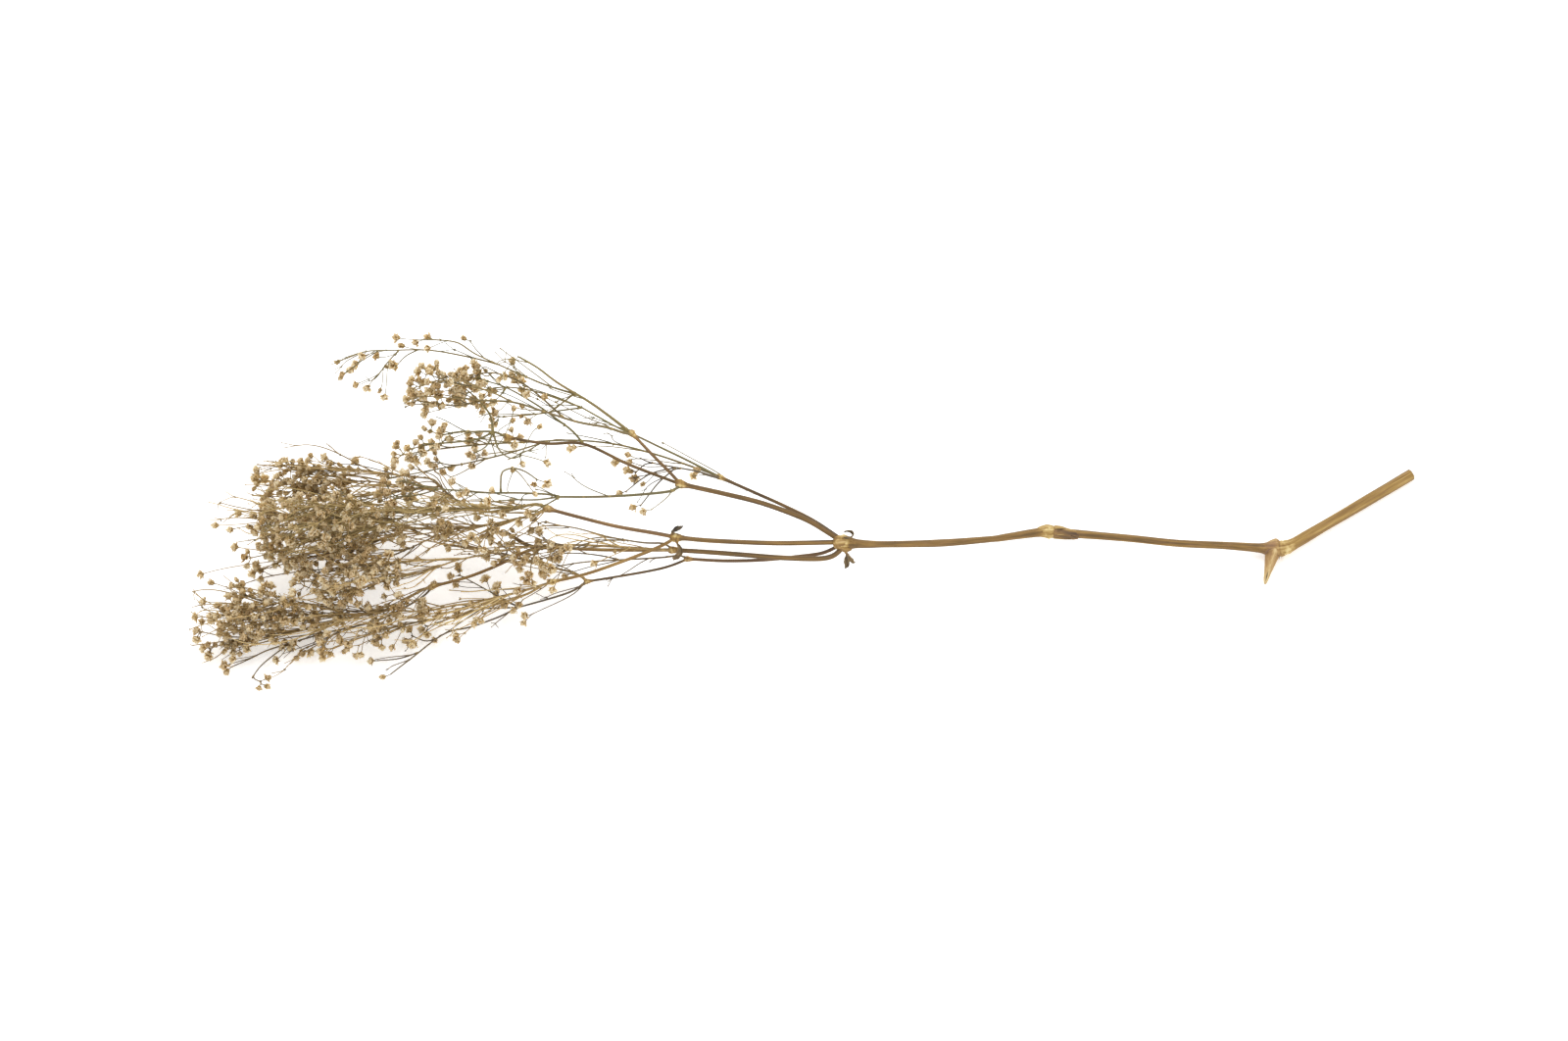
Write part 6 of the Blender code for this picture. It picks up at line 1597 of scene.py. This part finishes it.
def make_leaf(name, leaf, finish, draw):
    """A brittle leaf: a thin blade, rolled and crumpled, with a sunk midrib."""
    spots, widths, fold, blade = leaf["places"], leaf["widths"], leaf["fold"], leaf["blade"]
    if name == "leaf_ring":
        foot = spots[0][1]
        spots = [(along, RING_FOOT + (up - foot) * RING_SHARE, height) for along, up, height in spots]
    points = traced(spots, 0.4, 0.5)
    points = points[: round(len(points) * leaf["left"])]
    share = np.linspace(0, 1, len(points))
    widths = np.interp(share, np.linspace(0, 1, len(widths)), widths)
    # A leaf narrows to its stalk
    widths = widths * leaf["wider"] * (0.55 + 0.45 * np.minimum(1, share / 0.5))
    tangents = np.gradient(points, axis=0)
    tangents /= np.linalg.norm(tangents, axis=1, keepdims=True)
    columns = 13
    across = np.linspace(-0.5, 0.5, columns)
    phase = [draw.uniform(0, PHASES) for _ in range(4)]
    along = stations_of(points)
    bent = math.radians(leaf["roll"])
    layers = []
    for lift in (leaf["thick"], -leaf["thick"]):
        grid = np.zeros((len(points), columns, 3))
        for i, (point, tangent) in enumerate(zip(points, tangents)):
            side = unit(np.array(blade) - tangent * np.dot(blade, tangent))
            face = np.cross(tangent, side)
            width = widths[i] * (1 + 0.05 * math.sin(along[i] * 2.7 + phase[3]))
            radius = width / bent
            angle = across * bent
            wave = 0.10 * np.sin(along[i] * 1.7 + phase[0] + across * 5) * np.abs(across) * 2
            wave = wave + 0.05 * np.sin(along[i] * 3.9 + phase[1] - across * 9 + phase[2])
            wave = wave - fold * (1 - np.cos(4 * math.pi * across)) * 0.5 * min(1.0, along[i] / 4.0)
            rib = -0.10 * np.exp(-((across / 0.06) ** 2))
            shell = radius + (wave + rib + lift * (1 - (2 * across) ** 6))
            offset = shell * np.cos(angle) - radius * math.cos(bent / 4)
            notch = -1.6 * fold * share[i] ** 3 * np.exp(-(((across - 0.12) / 0.15) ** 2))
            grid[i] = point + (shell * np.sin(angle))[:, None] * side + offset[:, None] * face
            grid[i] += notch[:, None] * tangent
        layers.append(grid)
    marks = np.zeros_like(layers[0])
    marks[..., 0] = across[None, :] * widths[:, None]
    marks[..., 2] = along[:, None]
    reach = np.abs(across)[None, :] * 2 * np.ones((len(points), 1))
    # One side of the blade is painted darker than the other across its fold: painted shade; the slow change
    # along the blade is tone that differs at random
    tones = leaf["tone"] + 0.22 * np.sin(5 * across + 2.6)[None, :]
    tones = np.clip(tones + 0.12 * np.sin(along * 1.3 + phase[0])[:, None], 0, 1)
    piece = Piece()
    for grid, way in zip(layers, (1, -1)):
        corners, faces, *values = sheet(grid, marks, tones, reach)
        piece.add((corners, faces[:, ::way], *values), 0)
    return piece.made(name + "_fine", [finish])


# Finishes

def colour(code):
    """A linear colour from an sRGB hex value."""
    channels = [int(code[i : i + 2], 16) / 255 for i in (1, 3, 5)]
    return [c / 12.92 if c <= 0.04045 else ((c + 0.055) / 1.055) ** 2.4 for c in channels] + [1.0]


def give(tree, made, inputs):
    """Gives each input of a node its value, or a link from a socket."""
    for key, value in inputs.items():
        if isinstance(value, bpy.types.NodeSocket):
            tree.links.new(value, made.inputs[key])
        else:
            made.inputs[key].default_value = value


def node(tree, kind, inputs, **settings):
    """Adds a node with its settings, values and links."""
    made = tree.nodes.new(kind)
    for key, value in settings.items():
        setattr(made, key, value)
    give(tree, made, inputs)
    return made


def ramp_stops(made, stops):
    """Gives a colour ramp its stops, places and hex colours, and returns its colour."""
    ramp = made.color_ramp
    while len(ramp.elements) < len(stops):
        ramp.elements.new(0.5)
    for element, (spot, code) in zip(ramp.elements, stops):
        element.position = spot
        element.color = colour(code)
    return made.outputs["Color"]


def new_finish(name, roughness, specular):
    """An empty finish: its tree, shader and surface values."""
    made = bpy.data.materials.new(name)
    made.use_nodes = True
    tree = made.node_tree
    shader = tree.nodes["Principled BSDF"]
    give(tree, shader, {"Roughness": roughness, "IOR": 1.5, "Specular IOR Level": specular})
    values = [
        node(tree, "ShaderNodeAttribute", {}, attribute_name=key).outputs[kind]
        for key, kind in (("grain", "Vector"), ("tone", "Fac"), ("reach", "Fac"))
    ]
    return made, tree, shader, values


def drawn_noise(tree, grain, scale, detail):
    """Noise that is drawn out by its scale along each axis of the grain."""
    drawn = node(tree, "ShaderNodeMapping", {"Scale": scale, "Vector": grain})
    inputs = {"Scale": 1.0, "Detail": detail, "Roughness": 0.6, "Vector": drawn.outputs["Vector"]}
    return node(tree, "ShaderNodeTexNoise", inputs).outputs["Fac"]


def fibre_noise(tree, grain, across, along, detail):
    """Noise drawn out along the grain: its sizes across and along, in millimetres."""
    return drawn_noise(tree, grain, (1 / across, 1 / across, 1 / along), detail)


def dried_stem_finish():
    """Gypsophila stem, air-dried: straw skin with fine fibres along it, which gives soft satin streaks."""
    made, tree, shader, (grain, tone, reach) = new_finish("air_dried_stem_skin", 0.6, 0.28)
    # Fibre bundles are about 0.15 mm apart on the real stem; drawn 0.3 mm apart so that they show
    streaks = fibre_noise(tree, grain, 0.32, 12.0, 5.0)
    blotches = fibre_noise(tree, grain, 1.7, 26.0, 3.0)
    shift = node(tree, "ShaderNodeMath", {0: streaks, 1: 0.5, 2: -0.25}, operation="MULTIPLY_ADD")
    wide = node(tree, "ShaderNodeMath", {0: blotches, 1: 0.7, 2: -0.33}, operation="MULTIPLY_ADD")
    both = node(tree, "ShaderNodeMath", {0: shift.outputs[0], 1: wide.outputs[0]}, operation="ADD")
    shade = node(tree, "ShaderNodeMath", {0: tone, 1: both.outputs[0]}, operation="ADD", use_clamp=True)
    skin = ramp_stops(node(tree, "ShaderNodeValToRGB", {"Fac": shade.outputs[0]}), [
        (0.0, "#D6C28C"), (0.14, "#BEA36A"), (0.30, "#9D7E45"), (0.46, "#826437"), (0.60, "#6B5330"),
        (0.78, "#52412B"), (1.0, "#332820"),
    ])
    # Old skin turns pinkish brown in flecks
    flecks = fibre_noise(tree, grain, 1.1, 5.0, 3.0)
    limits = {"From Min": 0.52, "From Max": 0.75, "To Max": 0.25, "Value": flecks}
    mask = node(tree, "ShaderNodeMapRange", limits)
    pink = node(tree, "ShaderNodeMath", {0: mask.outputs[0], 1: reach}, operation="ADD", use_clamp=True)
    mixed = {"Factor": pink.outputs[0], "A": skin, "B": colour("#A07A62")}
    tint = node(tree, "ShaderNodeMix", mixed, data_type="RGBA")
    rough = node(tree, "ShaderNodeMapRange", {"To Min": 0.48, "To Max": 0.72, "Value": streaks})
    bump = node(tree, "ShaderNodeBump", {"Strength": 0.5, "Distance": 0.12 * MM, "Height": streaks})
    give(tree, shader, {
        "Base Color": tint.outputs["Result"], "Roughness": rough.outputs[0], "Normal": bump.outputs["Normal"],
    })
    return made


def dried_twig_finish():
    """Gypsophila twigs, air-dried: wiry, from straw through olive to grey-brown, nearly matt."""
    made, tree, shader, (grain, tone, reach) = new_finish("air_dried_twig_skin", 0.62, 0.3)
    mottle = fibre_noise(tree, grain, 0.35, 3.5, 3.0)
    shift = node(tree, "ShaderNodeMath", {0: mottle, 1: 0.4, 2: -0.2}, operation="MULTIPLY_ADD")
    shade = node(tree, "ShaderNodeMath", {0: tone, 1: shift.outputs[0]}, operation="ADD", use_clamp=True)
    skin = ramp_stops(node(tree, "ShaderNodeValToRGB", {"Fac": shade.outputs[0]}), [
        (0.0, "#D8C08C"), (0.16, "#BA9C69"), (0.34, "#977B50"), (0.52, "#7D6848"), (0.70, "#695847"),
        (0.86, "#54483F"), (1.0, "#3A3231"),
    ])
    # The green that is left after drying shows as olive stretches
    stretch = fibre_noise(tree, grain, 9.0, 30.0, 1.0)
    limits = {"From Min": 0.4, "From Max": 0.6, "To Min": 0.45, "Value": stretch}
    mask = node(tree, "ShaderNodeMapRange", limits)
    green = node(tree, "ShaderNodeMath", {0: mask.outputs[0], 1: reach}, operation="MULTIPLY")
    mixed = {"Factor": green.outputs[0], "A": skin, "B": colour("#757442")}
    olive = node(tree, "ShaderNodeMix", mixed, data_type="RGBA")
    bump = node(tree, "ShaderNodeBump", {"Strength": 0.35, "Distance": 0.06 * MM, "Height": mottle})
    give(tree, shader, {"Base Color": olive.outputs["Result"], "Normal": bump.outputs["Normal"]})
    return made


def dried_petal_finish():
    """Gypsophila petals, dried: papery and crumpled, cream with a brown foot and faint veins."""
    made, tree, shader, (grain, tone, reach) = new_finish("dried_papery_petal", 0.72, 0.25)
    # Veins are about 0.1 mm apart on the real petal; drawn 0.3 mm apart so that they show
    veins = drawn_noise(tree, grain, (3.3, 0.5, 1.0), 3.0)
    fresh = ramp_stops(
        node(tree, "ShaderNodeValToRGB", {"Fac": reach}),
        [(0.0, "#8F6A36"), (0.28, "#CBA668"), (0.55, "#EAD5A6"), (1.0, "#FAF1D8")],
    )
    old = ramp_stops(
        node(tree, "ShaderNodeValToRGB", {"Fac": reach}),
        [(0.0, "#6C4B25"), (0.4, "#AE8A52"), (0.8, "#D8BA84"), (1.0, "#C4A26A")],
    )
    aged = node(tree, "ShaderNodeMix", {"Factor": tone, "A": fresh, "B": old}, data_type="RGBA")
    limits = {"From Min": 0.5, "From Max": 0.8, "To Max": 0.4, "Value": veins}
    mask = node(tree, "ShaderNodeMapRange", limits)
    mixed = {"Factor": mask.outputs[0], "A": aged.outputs["Result"], "B": colour("#CEB486")}
    veined = node(tree, "ShaderNodeMix", mixed, data_type="RGBA").outputs["Result"]
    bump = node(tree, "ShaderNodeBump", {"Strength": 0.4, "Distance": 0.1 * MM, "Height": veins})
    give(tree, shader, {"Base Color": veined, "Normal": bump.outputs["Normal"]})
    # A petal is thin enough to glow with the light from behind it
    glow = node(tree, "ShaderNodeBsdfTranslucent", {"Color": veined})
    both = node(tree, "ShaderNodeMixShader", {0: 0.3, 1: shader.outputs[0], 2: glow.outputs[0]})
    give(tree, tree.nodes["Material Output"], {"Surface": both.outputs[0]})
    return made


def dried_calyx_finish():
    """Gypsophila calyx, dried: five olive-brown ribs, paler papery skin between them, which looks matt."""
    made, tree, shader, (grain, tone, _) = new_finish("dried_ribbed_calyx", 0.66, 0.3)
    parts = node(tree, "ShaderNodeSeparateXYZ", {"Vector": grain})
    ribs = ramp_stops(
        node(tree, "ShaderNodeValToRGB", {"Fac": parts.outputs["X"]}),
        [(0.0, "#D2BA88"), (0.4, "#BA9C64"), (0.75, "#937545"), (1.0, "#6F5636")],
    )
    share = node(tree, "ShaderNodeMath", {0: tone, 1: 0.35}, operation="MULTIPLY")
    mixed = {"Factor": share.outputs[0], "A": ribs, "B": colour("#54432A")}
    dark = node(tree, "ShaderNodeMix", mixed, data_type="RGBA")
    give(tree, shader, {"Base Color": dark.outputs["Result"]})
    return made


def brittle_leaf_finish():
    """Gypsophila leaf, dried dark: brittle and curled, grey-brown with a paler midrib, dull."""
    made, tree, shader, (grain, tone, reach) = new_finish("brittle_dried_leaf", 0.6, 0.4)
    mottle = fibre_noise(tree, grain, 0.9, 5.0, 3.0)
    blade = ramp_stops(
        node(tree, "ShaderNodeValToRGB", {"Fac": mottle}),
        [(0.25, "#5C4A30"), (0.45, "#776140"), (0.62, "#937C54"), (0.85, "#B39C72")],
    )
    dark = node(tree, "ShaderNodeMix", {"Factor": tone, "A": blade, "B": colour("#221B16")}, data_type="RGBA")
    limits = {"From Min": 0.12, "From Max": 0.0, "To Max": 0.35, "Value": reach}
    middle = node(tree, "ShaderNodeMapRange", limits)
    mixed = {"Factor": middle.outputs[0], "A": dark.outputs["Result"], "B": colour("#8A7852")}
    ribbed = node(tree, "ShaderNodeMix", mixed, data_type="RGBA")
    bump = node(tree, "ShaderNodeBump", {"Strength": 0.3, "Distance": 0.1 * MM, "Height": mottle})
    give(tree, shader, {"Base Color": ribbed.outputs["Result"], "Normal": bump.outputs["Normal"]})
    return made


def floor_finish():
    """Opal acrylic table, cast and lit from below, which gives a white ground with faint shadows."""
    made = bpy.data.materials.new("lit_opal_acrylic")
    made.use_nodes = True
    tree = made.node_tree
    give(tree, tree.nodes["Principled BSDF"], {
        "Base Color": colour("#FAFAF9"), "Roughness": 0.85, "Emission Color": (1.0, 1.0, 1.0, 1.0),
        "Emission Strength": 0.35,
    })
    return made


# Stage

def make_stage():
    """The pale floor, soft light and the camera at the photograph's viewing angle."""
    mesh = bpy.data.meshes.new("floor")
    corners = [(FLOOR_REACH * x, FLOOR_REACH * y, 0) for x, y in ((-1, -1), (1, -1), (1, 1), (-1, 1))]
    mesh.from_pydata(corners, [], [(0, 1, 2, 3)])
    mesh.materials.append(floor_finish())
    floor = bpy.data.objects.new("floor", mesh)
    bpy.context.scene.collection.objects.link(floor)

    world = bpy.data.worlds.new("soft_room")
    bpy.context.scene.world = world
    world.use_nodes = True
    ground = world.node_tree.nodes["Background"]
    give(world.node_tree, ground, {"Color": (1.0, 1.0, 1.0, 1.0), "Strength": 1.0})

    for name, (spot, size, power) in LIGHTS.items():
        lamp = bpy.data.lights.new(name, "AREA")
        lamp.size, lamp.energy = size, power
        item = bpy.data.objects.new(name, lamp)
        item.location = spot
        item.rotation_euler = Vector(spot).to_track_quat("Z", "Y").to_euler()
        bpy.context.scene.collection.objects.link(item)

    lens = bpy.data.cameras.new("camera")
    lens.lens, lens.sensor_width, lens.clip_end = LENS, SENSOR, 50.0
    eye = bpy.data.objects.new("camera", lens)
    away = Vector((0.0, -math.cos(VIEW_RISE), math.sin(VIEW_RISE))) * (SEEN_ACROSS * LENS / SENSOR)
    eye.location = Vector(place(*LOOKED_AT)) * MM + away
    eye.rotation_euler = (math.pi / 2 - VIEW_RISE, 0.0, 0.0)
    bpy.context.scene.collection.objects.link(eye)
    bpy.context.scene.camera = eye
    bpy.context.scene.view_settings.view_transform = "Standard"


def make_spray(name, spray, tufts, store, middles):
    """One spray: its twigs, then its tufts, then what grows between them."""
    draw = random.Random(f"{SEED} fine {name}")
    low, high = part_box(name)
    node_box = (np.array(low) / MM - 1.5, np.array(high) / MM + 1.5)
    node_box[0][2] = max(node_box[0][2], 0.0)
    piece = Piece(spray.get("green", USUAL_GREEN))
    fine, tone = fine_twigs(spray), spray["tone"]
    for points, radii in fine:
        piece.add(limb(points, radii, TWIG_FINE_SIDES, tone, ridges(draw, 0.06)), 0)
        add_joint(piece, points[1], unit(points[2] - points[0]), radii[1] * 1.1, draw, tone)
    for tuft, made in tufts:
        if made is None:
            continue
        line, fork, axis, heads = made
        extra = []
        if line is not None:
            extra = extra_heads(middles, node_box, fork, axis, tuft, tuft[3] - len(heads), draw)
        dress_tuft(piece, store, fine, made, extra, clamped(tone + draw.gauss(0.04, 0.1)), draw)
    add_runners(piece, store, fine, node_box, middles, spray.get("runners", USUAL_RUNNERS), tone, draw)
    add_bare_twigs(piece, fine, node_box, spray.get("bare", USUAL_BARE), tone, draw)
    add_threads(piece, fine, node_box, spray.get("threads", 0), tone, draw)
    return piece


def main():
    """Makes every fine piece over its solid, then the stage."""
    space = Space()
    fill_stem(space)
    surface = surface_of(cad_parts["main_stem"])
    for name, leaf in LEAVES.items():
        points = placed(leaf["places"])
        space.add_line(name, -1, points, [max(leaf["widths"]) / 2] * len(points))
    twigs = {name: spray_curves(name, spray, space, surface) for name, spray in SPRAYS.items()}
    grown = {}
    for name, spray in SPRAYS.items():
        draw = random.Random(f"{SEED} {name}")
        curves, taken = twigs[name]
        grown[name] = [
            (tuft, grow_tuft(space, name, i, tuft, centre, seat, draw))
            for i, tuft, centre, seat in matched(curves, taken, spray["tufts"])
        ]
    middles = [
        base + aim * HEAD_LENGTH * HEAD_MIDDLE
        for tufts in grown.values() for _, made in tufts if made for base, aim in made[3]
    ]
    stem_skin, twig_skin = dried_stem_finish(), dried_twig_finish()
    petal_skin, calyx_skin, leaf_skin = dried_petal_finish(), dried_calyx_finish(), brittle_leaf_finish()
    pieces = [(make_stem([stem_skin]), "main_stem", "straw_stem")]
    store = floret_store(random.Random(f"{SEED} florets"))
    for name, leaf in LEAVES.items():
        fine = make_leaf(name, leaf, leaf_skin, random.Random(f"{SEED} fine {name}"))
        pieces.append((fine, name, "dark_leaf"))
    for name, spray in SPRAYS.items():
        piece = make_spray(name, spray, grown[name], store, middles)
        fine = piece.made(name + "_fine", [twig_skin, petal_skin, calyx_skin])
        pieces.append((fine, name, "dried_flowers"))
    for piece, name, slot in pieces:
        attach(piece, "root")
        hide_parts(name)
    make_stage()


main()
